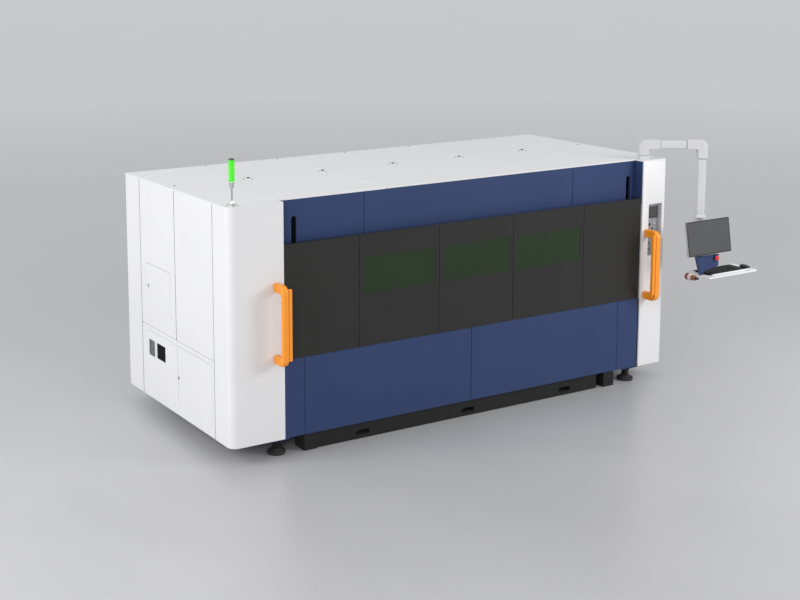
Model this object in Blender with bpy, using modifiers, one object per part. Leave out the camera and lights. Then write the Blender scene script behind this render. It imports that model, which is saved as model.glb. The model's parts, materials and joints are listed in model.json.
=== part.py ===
"""An enclosed fibre laser cutting machine for sheets of 3 m by 1.5 m.

Metres, +Z up, +X to the right along the front, +Y to the rear. The origin is on the floor,
under the middle of the cladding. The front door lifts, the gantry, its carriage and the
cutting head slide, the cabinet doors swing, and the operator's screen hangs from a jointed arm.
"""
import math

import bmesh
import bpy
from mathutils import Matrix, Vector

# Cladding
LENGTH = 4.83
DEPTH = 2.08
HEIGHT = 2.205
GROUND_GAP = 0.155
WAIST = 0.842
SHEET = 0.020
ROOF_SHEET = 0.012
SEAM = 0.005
GROOVE_DEPTH = 0.004
FIT = 0.0003
OVERRUN = 0.05
EDGE_R = 0.003
CORNER_R = 0.070
RIGHT_CORNER_R = 0.030
LEFT_CORNER_W = 0.520
RIGHT_CORNER_W = 0.300
CORNER_SIDE_W = 0.290
CORNER_LIP = 0.034
REAR_STRIP_W = 0.312
ROOF_PITCH_SHARE = 0.1644

# Front
HEADER_BACK = 0.115
HEADER_H = 0.425
HEADER_RETURN = 0.004
HEADER_SEAM_LEFT = 1.387
HEADER_SEAM_RIGHT = 1.090
STILE_W = 0.300
SLOT_W = 0.050
SLOT_LOW = 1.100
SLOT_DOWN = 0.155
SLOT_IN_LEFT = 0.158
SLOT_IN_RIGHT = 0.085
SKIRT_MIDDLE = 0.075
SKIRT_STRIP_LEFT = 0.200
SKIRT_STRIP_RIGHT = 0.272

# Lifting door
DOOR_BACK = 0.015
DOOR_T = 0.050
DOOR_LAP = 0.055
DOOR_SIDE_GAP = 0.004
DOOR_SKIN = 0.012
DOOR_RIB = 0.050
DOOR_SEAM_SHARES = (0.1885, 0.3993, 0.6076, 0.8180)
WINDOW_MARGIN = 0.038
WINDOW_H = 0.325
WINDOW_DOWN = 0.195
WINDOW_T = 0.006
WINDOW_FRONT = 0.002
HANGER_Z = 1.200
HANGER_W = 0.030
HANGER_H = 0.100
HANGER_PLATE_W = 0.090
HANGER_PLATE_T = 0.010
HANGER_RUN = 0.004

# Bed
BED_UNDER = 0.210
BED_TOP = 0.800
BEAM_W = 0.205
LEDGE_W = 0.060
LEDGE_T = 0.020
LEDGE_TOP = 0.620
RAIL_W = 0.034
RAIL_H = 0.030
RAIL_IN = 0.045
CABINET_D = 0.350
CABINET_GAP = 0.005
CABINET_BACK = 0.020
RIGHT_FRAME_D = 0.120
TOP_RAIL_W = 0.100
TOP_RAIL_H = 0.110
FOOT_X_LEFT = 0.495
FOOT_X_RIGHT = 0.355
FOOT_Y = 0.120
BRACKET_X = 0.240
BRACKET_Y = 0.130
BRACKET_LOW = 0.125
BRACKET_CHAMFER = 0.025
FOOT_R = 0.079
FOOT_DISC = 0.030
FOOT_CONE = 0.018
STEM_R = 0.036
STEM_TOP_R = 0.045
NUT_H = 0.022

# Base frame on the floor
BASE_LEFT = 0.725
BASE_RIGHT = 0.585
BASE_FRONT = 0.035
BASE_DEPTH = 0.160
BASE_STEP = 0.015
CROSS_LAP = 0.005
BLOCK_W = 0.128
POCKET_W = 0.080
POCKET_D = 0.110
CROSS_W = 0.150
LIFT_SLOT_W = 0.145
LIFT_SLOT_H = 0.046
LIFT_SLOT_D = 0.070
LIFT_SLOT_Z = 0.054
LIFT_SLOT_PITCH_SHARE = 0.3267

# Left end
CABINET_IN_FRONT = 0.050
CABINET_IN_REAR = 0.112
CABINET_UP = 0.099
CABINET_DOWN = 0.045
CABINET_SPLIT_IN = 0.019
CABINET_R = 0.030
POCKET_IN_FRONT = 0.030
POCKET_IN_REAR = 0.036
POCKET_UP = 0.026
POCKET_DOWN = 0.007
UPPER_POCKET_OUT = 0.028
UPPER_POCKET_UP = 0.058
UPPER_POCKET_DOWN = 0.155
ACCESS_IN_MIDDLE = 0.099
ACCESS_IN_REAR = 0.128
ACCESS_UP = 0.176
ACCESS_H = 0.413
LEAF_GAP = 0.003
VENT_IN = 0.030
VENT_W = 0.130
VENT_DOWN = 0.081
VENT_H = 0.153
PANE_IN = 0.044
PANE_W = 0.184
PANE_H = 0.147
PANE_T = 0.006
PANE_BACK = 0.004
VENT_FRAME = 0.014
VENT_SLATS = 6
VENT_SLAT_SHARE = 0.45
LATCH_R = 0.013
LATCH_HEAD_R = 0.016
LATCH_HEAD_T = 0.003
LATCH_DEPTH = 0.030
LATCH_Y = 0.013
ACCESS_LATCH_Y = 0.033
ACCESS_LATCH_UP = 0.204
CABINET_LATCH_UP = 0.253
KEY_W = 0.003
SOURCE_IN = 0.070
SOURCE_W = 0.680
SOURCE_H = 0.400
SOURCE_D = 0.280
SOURCE_FLANGE = 0.020
SOURCE_FLANGE_T = 0.006
GRIP_R = 0.006
GRIP_H = 0.120
GRIP_OUT = 0.030
GRIP_IN = 0.040

# Cutting table and gantry
TABLE_IN_LEFT = 0.895
TABLE_IN_RIGHT = 0.815
TABLE_GAP = 0.010
TABLE_H = 0.110
TABLE_BAR = 0.050
SLAT_PITCH = 0.155
SLAT_T = 0.004
SLAT_TOP = 0.860
SLAT_FOOT = 0.660
TOOTH_PITCH = 0.250
TOOTH_H = 0.022
GANTRY_IN = 0.635
GANTRY_W = 0.200
GANTRY_LOW = 1.180
GANTRY_H = 0.230
GANTRY_LEG = 0.064
GANTRY_SHOE_H = 0.090
GANTRY_SHOE_X = 0.120
CARRIAGE_IN = 0.240
CARRIAGE_W = 0.180
CARRIAGE_T = 0.060
CARRIAGE_LOW = 1.120
CARRIAGE_TOP = 1.460
HEAD_BODY_W = 0.090
HEAD_BODY_T = 0.070
HEAD_BODY_LOW = 1.150
HEAD_BODY_TOP = 1.420
NOZZLE_R = 0.006
NOZZLE_LOW = 0.985
CERAMIC_R = 0.022
COLLIMATOR_R = 0.032
COLLIMATOR_LOW = 1.070

# Handles
HANDLE_LOW = 0.836
HANDLE_TOP = 1.530
HANDLE_W = 0.057
HANDLE_LEFT_IN = 0.412
HANDLE_RIGHT_IN = 0.216
HANDLE_OUT = 0.172
HANDLE_GRIP_T = 0.044
HANDLE_ARM_H = 0.075
HANDLE_R = 0.072
HANDLE_INNER_R = 0.028
STRIP_W = 0.033
STRIP_LOW = 0.886
STRIP_TOP = 1.499
STRIP_SET = 0.004
STRIP_LAP = 0.012
HANDLE_EDGE = 0.010

# Signal tower
TOWER_X = 0.075
TOWER_Y = 0.068
TOWER_BASE_R = 0.043
TOWER_BASE_H = 0.010
TOWER_CONE_R = 0.022
TOWER_CONE_H = 0.034
TOWER_STEM_R = 0.007
TOWER_CUP_UP = 0.140
TOWER_CUP_R = 0.021
TOWER_CUP_H = 0.060
TOWER_LENS_R = 0.026
TOWER_LENS_H = 0.195
TOWER_DOME = 0.012

# Operator panel in the right corner panel
RECESS_X0 = 0.080
RECESS_W = 0.172
RECESS_LOW = 1.257
RECESS_TOP = 1.770
RECESS_DEPTH = 0.045
RECESS_WALL = 0.003
RECESS_PLATE = 0.006
SCREEN_X0 = 0.040
SCREEN_W = 0.118
SCREEN_H = 0.115
SCREEN_DOWN = 0.035
SCREEN_OUT = 0.004
BUTTON_R = 0.010
BUTTON_OUT = 0.008
BUTTON_SHARES = ((0.343, 0.589), (0.709, 0.597))
LAMP_SHARES = ((0.547, 0.503), (0.273, 0.349), (0.279, 0.224), (0.291, 0.099))

# Operator's arm
ARM_X = 0.225
ARM_Y = 0.090
ARM_TURN = math.radians(-33.3)
ARM_BASE_W = 0.094
ARM_BASE_H = 0.040
ARM_POST_W = 0.092
ARM_TUBE_W = 0.076
ARM_AXIS_UP = 0.145
ARM_REACH = 0.556
ARM_COLLAR = 0.150
ARM_CHAMFER = 0.042
ARM_DROP = 0.136
ARM_EDGE = 0.008
FLANGE_W = 0.094
FLANGE_LOW = 1.630
FLANGE_H = 0.032
FLANGE_TAPER = 0.015

# Screen, console and tray, placed from the drop tube's axis
CONSOLE_IN_LEFT = 0.116
CONSOLE_IN_RIGHT = 0.183
CONSOLE_TOP = 1.262
CONSOLE_OUT_FRONT = 0.095
CONSOLE_OUT_REAR = 0.030
CONSOLE_PLATE_T = 0.030
CONSOLE_BLOCK_H = 0.100
CONSOLE_KNEE_IN = 0.075
CONSOLE_KNEE_Z = 1.137
CONSOLE_LEG_IN = 0.051
CONSOLE_LEG_W = 0.024
CONSOLE_ARCH_IN = 0.018
CONSOLE_ARCH_LOW = 1.110
CONSOLE_ARCH_TOP = 1.143
COLUMN_W = 0.090
COLUMN_OUT = 0.015
MONITOR_W = 0.565
MONITOR_H = 0.336
MONITOR_T = 0.028
MONITOR_IN = 0.016
MONITOR_Z = 1.440
MONITOR_TILT = math.radians(9.0)
MONITOR_RIM = 0.008
MONITOR_INSET = 0.0015
MONITOR_EDGE = 0.004
KNUCKLE_R = 0.018
KNUCKLE_L = 0.080
KNUCKLE_WEB = 0.020
KNUCKLE_OUT = 0.059
ESTOP_IN = 0.046
ESTOP_DOWN = 0.033
ESTOP_R = 0.026
ESTOP_STEM_R = 0.010
ESTOP_OUT = 0.030
ESTOP_CAP = 0.016
TRAY_IN = 0.052
TRAY_W = 0.659
TRAY_OUT_FRONT = 0.205
TRAY_D = 0.310
TRAY_TOP = 1.075
TRAY_T = 0.018
TRAY_R = 0.015
TRAY_LIP_IN_LEFT = 0.120
TRAY_LIP_IN_RIGHT = 0.080
TRAY_LIP_W = 0.016
TRAY_LIP_H = 0.008
TRAY_LIP_BACK = 0.045
LUG_OUT = 0.155
LUG_BACK = 0.060
LUG_W = 0.080
LUG_T = 0.006
LUG_DROP = 0.036
KEYS_IN = 0.062
KEYS_W = 0.425
KEYS_DEPTH = 0.180
KEYS_H = 0.016
KEYS_SLOPE = 0.008
KEYS_GAP = 0.002
MOUSE_IN = 0.040
MOUSE_BACK = 0.125
MOUSE_W = 0.060
MOUSE_L = 0.105
MOUSE_H = 0.034
HANDSET_IN = 0.022
HANDSET_BACK = 0.165
HANDSET_R = 0.034
HANDSET_BODY = 0.070
HANDSET_NECK_R = 0.026
HANDSET_NECK = 0.040
HANDSET_TIP_R = 0.013
HANDSET_TIP = 0.045
HANDSET_LINE = 0.003
HANDSET_FLAT = 0.004

# Round shapes
FINE_STEPS = 20
ROUGH_STEPS = 12
ARC_STEPS = 5

LEFT = -LENGTH / 2
RIGHT = LENGTH / 2
FRONT = -DEPTH / 2
REAR = DEPTH / 2
ROOF_UNDER = HEIGHT - ROOF_SHEET
WALL_TOP = ROOF_UNDER - FIT
INNER_LEFT = LEFT + SHEET
INNER_RIGHT = RIGHT - SHEET
INNER_REAR = REAR - SHEET
HEADER_LOW = HEIGHT - HEADER_H
SLOT_TOP = HEIGHT - SLOT_DOWN
DOOR_TOP = HEADER_LOW + DOOR_LAP
WINDOW_TOP = DOOR_TOP - WINDOW_DOWN
WINDOW_LOW = WINDOW_TOP - WINDOW_H
ROOF_PITCH = LENGTH * ROOF_PITCH_SHARE
CORNER_LEFT_EDGE = LEFT + LEFT_CORNER_W
CORNER_RIGHT_EDGE = RIGHT - RIGHT_CORNER_W
MOUTH_LEFT = CORNER_LEFT_EDGE + FIT + HEADER_RETURN
MOUTH_RIGHT = CORNER_RIGHT_EDGE - FIT - HEADER_RETURN
SIDE_SEAM_FRONT = FRONT + CORNER_SIDE_W
SIDE_SEAM_REAR = REAR - REAR_STRIP_W
SIDE_SEAM_MIDDLE = (SIDE_SEAM_FRONT + SIDE_SEAM_REAR) / 2
ROOF_SEAM_MIDDLE = (SIDE_SEAM_FRONT + REAR) / 2
HEADER_FACE = FRONT + HEADER_BACK
HEADER_INSIDE = HEADER_FACE + SHEET
DOOR_FACE = FRONT + DOOR_BACK
DOOR_INSIDE = DOOR_FACE + DOOR_T
DOOR_LEFT = MOUTH_LEFT + DOOR_SIDE_GAP
DOOR_RIGHT = MOUTH_RIGHT - DOOR_SIDE_GAP
SLOT_LEFT_X = MOUTH_LEFT + SLOT_IN_LEFT
SLOT_RIGHT_X = MOUTH_RIGHT - SLOT_IN_RIGHT
BEAM_FRONT = DOOR_FACE + SHEET + FIT
BEAM_INSIDE = BEAM_FRONT + BEAM_W
TABLE_HALF_W = -BEAM_INSIDE - TABLE_GAP
TABLE_X0 = LEFT + TABLE_IN_LEFT
TABLE_X1 = RIGHT - TABLE_IN_RIGHT
GANTRY_X = LEFT + GANTRY_IN
GANTRY_HALF = -BEAM_INSIDE + RAIL_IN + RAIL_W
CARRIAGE_Y = CARRIAGE_IN - GANTRY_HALF
CABINET_FRONT = HEADER_INSIDE + CABINET_GAP
CABINET_Y0 = SIDE_SEAM_FRONT + CABINET_IN_FRONT
CABINET_Y1 = SIDE_SEAM_REAR - CABINET_IN_REAR
CABINET_LOW = GROUND_GAP + CABINET_UP
CABINET_TOP = WAIST - CABINET_DOWN
CABINET_SPLIT = SIDE_SEAM_MIDDLE - CABINET_SPLIT_IN
ACCESS_Y0 = SIDE_SEAM_MIDDLE + ACCESS_IN_MIDDLE
ACCESS_Y1 = SIDE_SEAM_REAR - ACCESS_IN_REAR
ACCESS_LOW = WAIST + ACCESS_UP
ACCESS_TOP = ACCESS_LOW + ACCESS_H
ACCESS_LATCH_Z = ACCESS_LOW + ACCESS_LATCH_UP
CABINET_LATCH_Z = CABINET_LOW + CABINET_LATCH_UP
VENT_Y1 = CABINET_Y1 - VENT_IN
VENT_Y0 = VENT_Y1 - VENT_W
VENT_TOP = CABINET_TOP - VENT_DOWN
VENT_LOW = VENT_TOP - VENT_H
PANE_Y1 = VENT_Y0 - PANE_IN
PANE_Y0 = PANE_Y1 - PANE_W
PANE_LOW = VENT_TOP - PANE_H
POCKET_Y0 = CABINET_Y0 + POCKET_IN_FRONT
POCKET_Y1 = CABINET_Y1 - POCKET_IN_REAR
POCKET_LOW = CABINET_LOW + POCKET_UP
POCKET_TOP = CABINET_TOP - POCKET_DOWN
ARM_AXIS_Z = HEIGHT + ARM_AXIS_UP
CABINET_RIGHT = INNER_LEFT + FIT + CABINET_D
RIGHT_FRAME_LEFT = INNER_RIGHT - FIT - RIGHT_FRAME_D
RAIL_TOP = BED_TOP + RAIL_H
DROP_X = RIGHT - ARM_X + ARM_REACH * math.cos(ARM_TURN)
DROP_Y = FRONT + ARM_Y + ARM_REACH * math.sin(ARM_TURN)
CONSOLE_X1 = DROP_X + CONSOLE_IN_RIGHT
CONSOLE_FRONT = DROP_Y - CONSOLE_OUT_FRONT
CONSOLE_REAR = DROP_Y + CONSOLE_OUT_REAR
COLUMN_FRONT = DROP_Y - COLUMN_OUT
TRAY_X0 = DROP_X - TRAY_IN
TRAY_X1 = TRAY_X0 + TRAY_W
TRAY_FRONT = DROP_Y - TRAY_OUT_FRONT

for old in list(bpy.data.objects):
    bpy.data.objects.remove(old, do_unlink=True)

PARTS = bpy.data.collections.new("fiber_laser_cutting_machine")
CUTTERS = bpy.data.collections.new("cutters")
bpy.context.scene.collection.children.link(PARTS)
bpy.context.scene.collection.children.link(CUTTERS)


def material(name, colour, roughness, metallic=0.0):
    """A Principled BSDF material of one finish."""
    made = bpy.data.materials.new(name)
    made.use_nodes = True
    shader = made.node_tree.nodes["Principled BSDF"]
    shader.inputs["Base Color"].default_value = (*colour, 1.0)
    shader.inputs["Roughness"].default_value = roughness
    shader.inputs["Metallic"].default_value = metallic
    return made


WHITE = material("white_paint", (0.86, 0.86, 0.87), 0.35)
BLUE = material("blue_paint", (0.035, 0.055, 0.13), 0.4)
GLAZING = material("dark_glazing", (0.04, 0.04, 0.038), 0.25)
GREEN_GLASS = material("green_laser_glass", (0.03, 0.055, 0.028), 0.1)
BLACK_STEEL = material("black_steel", (0.025, 0.025, 0.024), 0.55)
ORANGE = material("orange_plastic", (1.0, 0.37, 0.03), 0.4)
LAMP_GREEN = material("green_lamp", (0.08, 0.83, 0.02), 0.2)
CHROME = material("polished_metal", (0.7, 0.7, 0.72), 0.15, 1.0)
STEEL = material("machined_steel", (0.5, 0.5, 0.52), 0.4, 1.0)
LIGHT_GREY = material("light_grey_paint", (0.7, 0.7, 0.72), 0.45)
PANEL_GREY = material("panel_grey", (0.3, 0.31, 0.33), 0.4)
BLACK_PLASTIC = material("black_plastic", (0.012, 0.012, 0.013), 0.4)
RED = material("red_button", (0.7, 0.02, 0.02), 0.35)
ZINC = material("galvanised_sheet", (0.55, 0.56, 0.58), 0.5, 0.8)


def add(name, mesh, finish, matrix=None):
    """A new named object in the parts collection."""
    made = bpy.data.objects.new(name, mesh)
    if matrix is not None:
        made.matrix_world = matrix
    if finish is not None:
        made.data.materials.clear()
        made.data.materials.append(finish)
    PARTS.objects.link(made)
    return made


def bevel(part, width, segments=2, angle=math.radians(35)):
    """Round the edges that are sharper than the angle."""
    modifier = part.modifiers.new("edges", "BEVEL")
    modifier.width = width
    modifier.segments = segments
    modifier.limit_method = "ANGLE"
    modifier.angle_limit = angle
    return part


def block(name, lo, hi, finish=None, edge=0.0, segments=2):
    """A box between two corners, placed by its centre."""
    lo = Vector(lo)
    hi = Vector(hi)
    shape = bmesh.new()
    bmesh.ops.create_cube(shape, size=1, matrix=Matrix.Diagonal((*(hi - lo), 1)))
    mesh = bpy.data.meshes.new(name)
    shape.to_mesh(mesh)
    shape.free()
    made = add(name, mesh, finish, Matrix.Translation((lo + hi) / 2))
    if edge:
        bevel(made, edge, segments)
    return made


PLANES = {
    "X": Matrix(((0, 0, 1, 0), (1, 0, 0, 0), (0, 1, 0, 0), (0, 0, 0, 1))),
    "Y": Matrix(((1, 0, 0, 0), (0, 0, -1, 0), (0, 1, 0, 0), (0, 0, 0, 1))),
    "Z": Matrix.Identity(4),
}


def extruded(name, outlines, axis, lo, hi, finish=None, edge=0.0, segments=2):
    """A flat outline with its holes, drawn across an axis and as thick as lo to hi.

    Outlines are in (Y, Z) for X, (X, Z) for Y and (X, Y) for Z.
    """
    curve = bpy.data.curves.new(name + "_outline", "CURVE")
    curve.dimensions = "2D"
    curve.fill_mode = "BOTH"
    curve.extrude = (hi - lo) / 2
    for outline in outlines:
        spline = curve.splines.new("POLY")
        spline.points.add(len(outline) - 1)
        spline.use_cyclic_u = True
        for point, (across, up) in zip(spline.points, outline):
            point.co = (across, up, 0, 1)
    drawn = bpy.data.objects.new(name + "_outline", curve)
    bpy.context.scene.collection.objects.link(drawn)
    shift = Vector((axis == "X", axis == "Y", axis == "Z")) * (lo + hi) / 2
    drawn.matrix_world = Matrix.Translation(shift) @ PLANES[axis]
    bpy.context.view_layer.update()
    evaluated = drawn.evaluated_get(bpy.context.evaluated_depsgraph_get())
    mesh = bpy.data.meshes.new_from_object(evaluated)
    mesh.name = name
    shape = bmesh.new()
    shape.from_mesh(mesh)
    bmesh.ops.remove_doubles(shape, verts=shape.verts, dist=FIT / 10)
    shape.to_mesh(mesh)
    shape.free()
    made = add(name, mesh, finish, drawn.matrix_world.copy())
    bpy.data.objects.remove(drawn, do_unlink=True)
    if edge:
        bevel(made, edge, segments)
    return made


def turned(name, profile, finish, matrix, steps=FINE_STEPS):
    """A profile of (radius, height) pairs, outer side running down, turned about its Z."""
    shape = bmesh.new()
    corners = [shape.verts.new((radius, 0, height)) for radius, height in profile]
    for first, second in zip(corners, corners[1:]):
        shape.edges.new((first, second))
    mesh = bpy.data.meshes.new(name)
    shape.to_mesh(mesh)
    shape.free()
    made = add(name, mesh, finish, matrix)
    screw = made.modifiers.new("turn", "SCREW")
    screw.steps = steps
    screw.render_steps = steps
    screw.use_merge_vertices = True
    screw.merge_threshold = FIT / 10
    screw.use_smooth_shade = True
    return made


def hide(cutter):
    """Take a guide shape out of the parts."""
    for home in list(cutter.users_collection):
        home.objects.unlink(cutter)
    CUTTERS.objects.link(cutter)
    cutter.hide_render = True
    cutter.display_type = "WIRE"


def combine(part, operation, shapes):
    """Cut or join shapes."""
    for shape in shapes:
        modifier = part.modifiers.new(operation.lower() + "_" + shape.name, "BOOLEAN")
        modifier.operation = operation
        modifier.solver = "EXACT"
        modifier.object = shape
        hide(shape)
    return part


def cut(part, *shapes):
    return combine(part, "DIFFERENCE", shapes)


def join(part, *shapes):
    return combine(part, "UNION", shapes)


def carry(name, place, *riders, turn=None):
    """An empty on a joint's axis that carries the moving pieces."""
    pivot = bpy.data.objects.new(name, None)
    pivot.empty_display_size = SHEET
    pivot.matrix_world = Matrix.Translation(place) @ (turn or Matrix.Identity(4))
    PARTS.objects.link(pivot)
    bpy.context.view_layer.update()
    for rider in riders:
        rider.parent = pivot
        rider.matrix_parent_inverse = pivot.matrix_world.inverted()
    return pivot


def rectangle(u0, u1, v0, v1):
    return [(u0, v0), (u1, v0), (u1, v1), (u0, v1)]


def rounded(points, radii, steps=ARC_STEPS):
    """A polygon with its corners rounded; a radius of zero keeps the corner."""
    if not isinstance(radii, (list, tuple)):
        radii = [radii] * len(points)
    made = []
    for place, (corner, radius) in enumerate(zip(points, radii)):
        here = Vector(corner)
        if not radius:
            made.append(tuple(here))
            continue
        before = (Vector(points[place - 1]) - here).normalized()
        after = (Vector(points[(place + 1) % len(points)]) - here).normalized()
        half = before.angle(after) / 2
        reach = radius / math.tan(half)
        centre = here + (before + after).normalized() * radius / math.sin(half)
        start = here + before * reach - centre
        end = here + after * reach - centre
        swing = start.angle_signed(end)
        for step in range(steps + 1):
            angle = -swing * step / steps
            spoke = Matrix.Rotation(angle, 2) @ start
            made.append(tuple(centre + spoke))
    return made


def obround(u, v, width, height, steps=ARC_STEPS):
    """A slot with round ends, centred on (u, v)."""
    corners = rectangle(u - width / 2, u + width / 2, v - height / 2, v + height / 2)
    return rounded(corners, min(width, height) / 2 - FIT, steps)


def mirror_x(points):
    """The outline seen in a mirror across the machine's middle, in the same sense of turning."""
    return [(-u, v) for u, v in reversed(points)]


def base_frame():
    """Steel frame on the floor: front beam with end blocks and lifting slots, rear beam, cross beam."""
    x0 = LEFT + BASE_LEFT
    x1 = RIGHT - BASE_RIGHT
    front = FRONT + BASE_FRONT
    face = front + BASE_STEP
    back = front + BASE_DEPTH
    top = BED_UNDER - FIT
    outline = [
        (x0, front), (x0 + BLOCK_W, front), (x0 + BLOCK_W, face),
        (x1 - BLOCK_W - POCKET_W, face), (x1 - BLOCK_W - POCKET_W, front + POCKET_D),
        (x1 - BLOCK_W, front + POCKET_D), (x1 - BLOCK_W, front), (x1, front), (x1, back), (x0, back),
    ]
    part = extruded("base_frame", [outline], "Z", 0, top, BLACK_STEEL)
    rear = block("base_rear", (x0, -back, 0), (x1, -front, top))
    cross = block("base_cross", (-CROSS_W / 2, back - CROSS_LAP, 0), (CROSS_W / 2, CROSS_LAP - back, top))
    join(part, rear, cross)
    middle = (x0 + x1) / 2
    pitch = (x1 - x0) * LIFT_SLOT_PITCH_SHARE
    slots = []
    for turn in (-1, 0, 1):
        shape = obround(middle + turn * pitch, LIFT_SLOT_Z, LIFT_SLOT_W, LIFT_SLOT_H, 3)
        slots.append(extruded("lift_slot_cutter_%d" % (turn + 2), [shape], "Y",
                              face - OVERRUN, face + LIFT_SLOT_D))
    cut(part, *slots)


def feet():
    """Levelling feet: a round pad on a threaded stem with its nut, under the bed's brackets."""
    low = BRACKET_LOW - FIT
    profile = [
        (0, low), (STEM_R, low), (STEM_R, low - NUT_H), (STEM_TOP_R, low - NUT_H),
        (STEM_TOP_R, FOOT_DISC + FOOT_CONE), (FOOT_R - FOOT_CONE / 2, FOOT_DISC),
        (FOOT_R, FOOT_DISC - FOOT_CONE / 2), (FOOT_R, 0), (0, 0),
    ]
    for end, x in (("left", LEFT + FOOT_X_LEFT), ("right", RIGHT - FOOT_X_RIGHT)):
        for side, y in (("front", FRONT + FOOT_Y), ("rear", REAR - FOOT_Y)):
            turned("levelling_foot_%s_%s" % (side, end), profile, BLACK_STEEL,
                   Matrix.Translation((x, y, 0)))


def foot_bracket(name, x, y):
    """The plate box under a bed beam that a levelling foot screws into."""
    lo = x - BRACKET_X / 2
    hi = x + BRACKET_X / 2
    outline = [
        (lo, BED_UNDER + LEDGE_T), (lo, BRACKET_LOW + BRACKET_CHAMFER), (lo + BRACKET_CHAMFER, BRACKET_LOW),
        (hi - BRACKET_CHAMFER, BRACKET_LOW), (hi, BRACKET_LOW + BRACKET_CHAMFER), (hi, BED_UNDER + LEDGE_T),
    ]
    return extruded(name, [outline], "Y", y - BRACKET_Y / 2, y + BRACKET_Y / 2)


def bed():
    """Two long welded beams that carry the guide rails and, on ledges, the cutting table."""
    x0 = CABINET_RIGHT + FIT
    x1 = RIGHT_FRAME_LEFT - FIT
    for side, outer, inner in (("front", BEAM_FRONT, BEAM_INSIDE),
                               ("rear", INNER_REAR - FIT, -BEAM_INSIDE)):
        way = 1 if inner > outer else -1
        rail0 = inner - way * RAIL_IN
        rail1 = rail0 - way * RAIL_W
        ledge = inner + way * LEDGE_W
        outline = [
            (outer, BED_UNDER), (inner, BED_UNDER), (inner, LEDGE_TOP - LEDGE_T),
            (ledge, LEDGE_TOP - LEDGE_T), (ledge, LEDGE_TOP), (inner, LEDGE_TOP), (inner, BED_TOP),
            (rail0, BED_TOP), (rail0, RAIL_TOP), (rail1, RAIL_TOP), (rail1, BED_TOP), (outer, BED_TOP),
        ]
        part = extruded("bed_beam_" + side, [outline], "X", x0, x1, BLUE)
        y = FRONT + FOOT_Y if side == "front" else REAR - FOOT_Y
        join(part, foot_bracket("bracket_left_" + side, LEFT + FOOT_X_LEFT, y),
             foot_bracket("bracket_right_" + side, RIGHT - FOOT_X_RIGHT, y))


def end_frames():
    """The left cabinet with its two compartments, the right end frame and the top rails."""
    cabinet = block("left_cabinet", (INNER_LEFT + FIT, CABINET_FRONT, BED_UNDER),
                    (CABINET_RIGHT, INNER_REAR - FIT, WALL_TOP), LIGHT_GREY)
    lower = block("lower_pocket_cutter", (INNER_LEFT - OVERRUN, POCKET_Y0, POCKET_LOW),
                  (CABINET_RIGHT - CABINET_BACK, POCKET_Y1, POCKET_TOP))
    upper = block("upper_pocket_cutter",
                  (INNER_LEFT - OVERRUN, ACCESS_Y0 - UPPER_POCKET_OUT, WAIST + UPPER_POCKET_UP),
                  (CABINET_RIGHT - CABINET_BACK, POCKET_Y1, HEIGHT - UPPER_POCKET_DOWN))
    cut(cabinet, lower, upper)
    hole = rectangle(CABINET_FRONT + RIGHT_FRAME_D, -CABINET_FRONT - RIGHT_FRAME_D,
                     BED_TOP + SHEET, WALL_TOP - RIGHT_FRAME_D)
    extruded("right_end_frame",
             [rectangle(CABINET_FRONT, INNER_REAR - FIT, BED_UNDER, WALL_TOP), hole],
             "X", RIGHT_FRAME_LEFT, INNER_RIGHT - FIT, LIGHT_GREY)
    x0 = CABINET_RIGHT + FIT
    x1 = RIGHT_FRAME_LEFT - FIT
    low = WALL_TOP - TOP_RAIL_H
    block("top_rail_front", (x0, HEADER_INSIDE + FIT, low), (x1, HEADER_INSIDE + FIT + TOP_RAIL_W, WALL_TOP),
          LIGHT_GREY, EDGE_R, 1)
    block("top_rail_rear", (x0, INNER_REAR - FIT - TOP_RAIL_W, low), (x1, INNER_REAR - FIT, WALL_TOP),
          LIGHT_GREY, EDGE_R, 1)


def slat_outline():
    """One support slat across the table, with its row of burning points on top."""
    half = TABLE_HALF_W - TABLE_BAR / 2
    teeth = int(2 * half / TOOTH_PITCH)
    step = 2 * half / teeth
    outline = [(-half, SLAT_FOOT), (half, SLAT_FOOT)]
    for tooth in range(teeth):
        y = half - tooth * step
        outline.append((y, SLAT_TOP - TOOTH_H))
        outline.append((y - step / 2, SLAT_TOP))
    outline.append((-half, SLAT_TOP - TOOTH_H))
    return outline


def slat_table():
    """The cutting table: a welded ring with thin pointed slats across it."""
    low = LEDGE_TOP + FIT
    edges = [
        rectangle(TABLE_X0, TABLE_X1, -TABLE_HALF_W, TABLE_HALF_W),
        rectangle(TABLE_X0 + TABLE_BAR, TABLE_X1 - TABLE_BAR,
                  TABLE_BAR - TABLE_HALF_W, TABLE_HALF_W - TABLE_BAR),
    ]
    part = extruded("slat_table", edges, "Z", low, low + TABLE_H, BLACK_STEEL)
    length = TABLE_X1 - TABLE_X0
    spaces = int((length - TABLE_BAR) / SLAT_PITCH)
    spare = length - spaces * SLAT_PITCH
    first = TABLE_X0 + spare / 2
    slats = extruded("slats", [slat_outline()], "X", first - SLAT_T / 2, first + SLAT_T / 2)
    rows = slats.modifiers.new("rows", "ARRAY")
    rows.count = spaces + 1
    rows.use_relative_offset = False
    rows.use_constant_offset = True
    rows.constant_offset_displace = (0, 0, SLAT_PITCH)
    join(part, slats)


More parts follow.
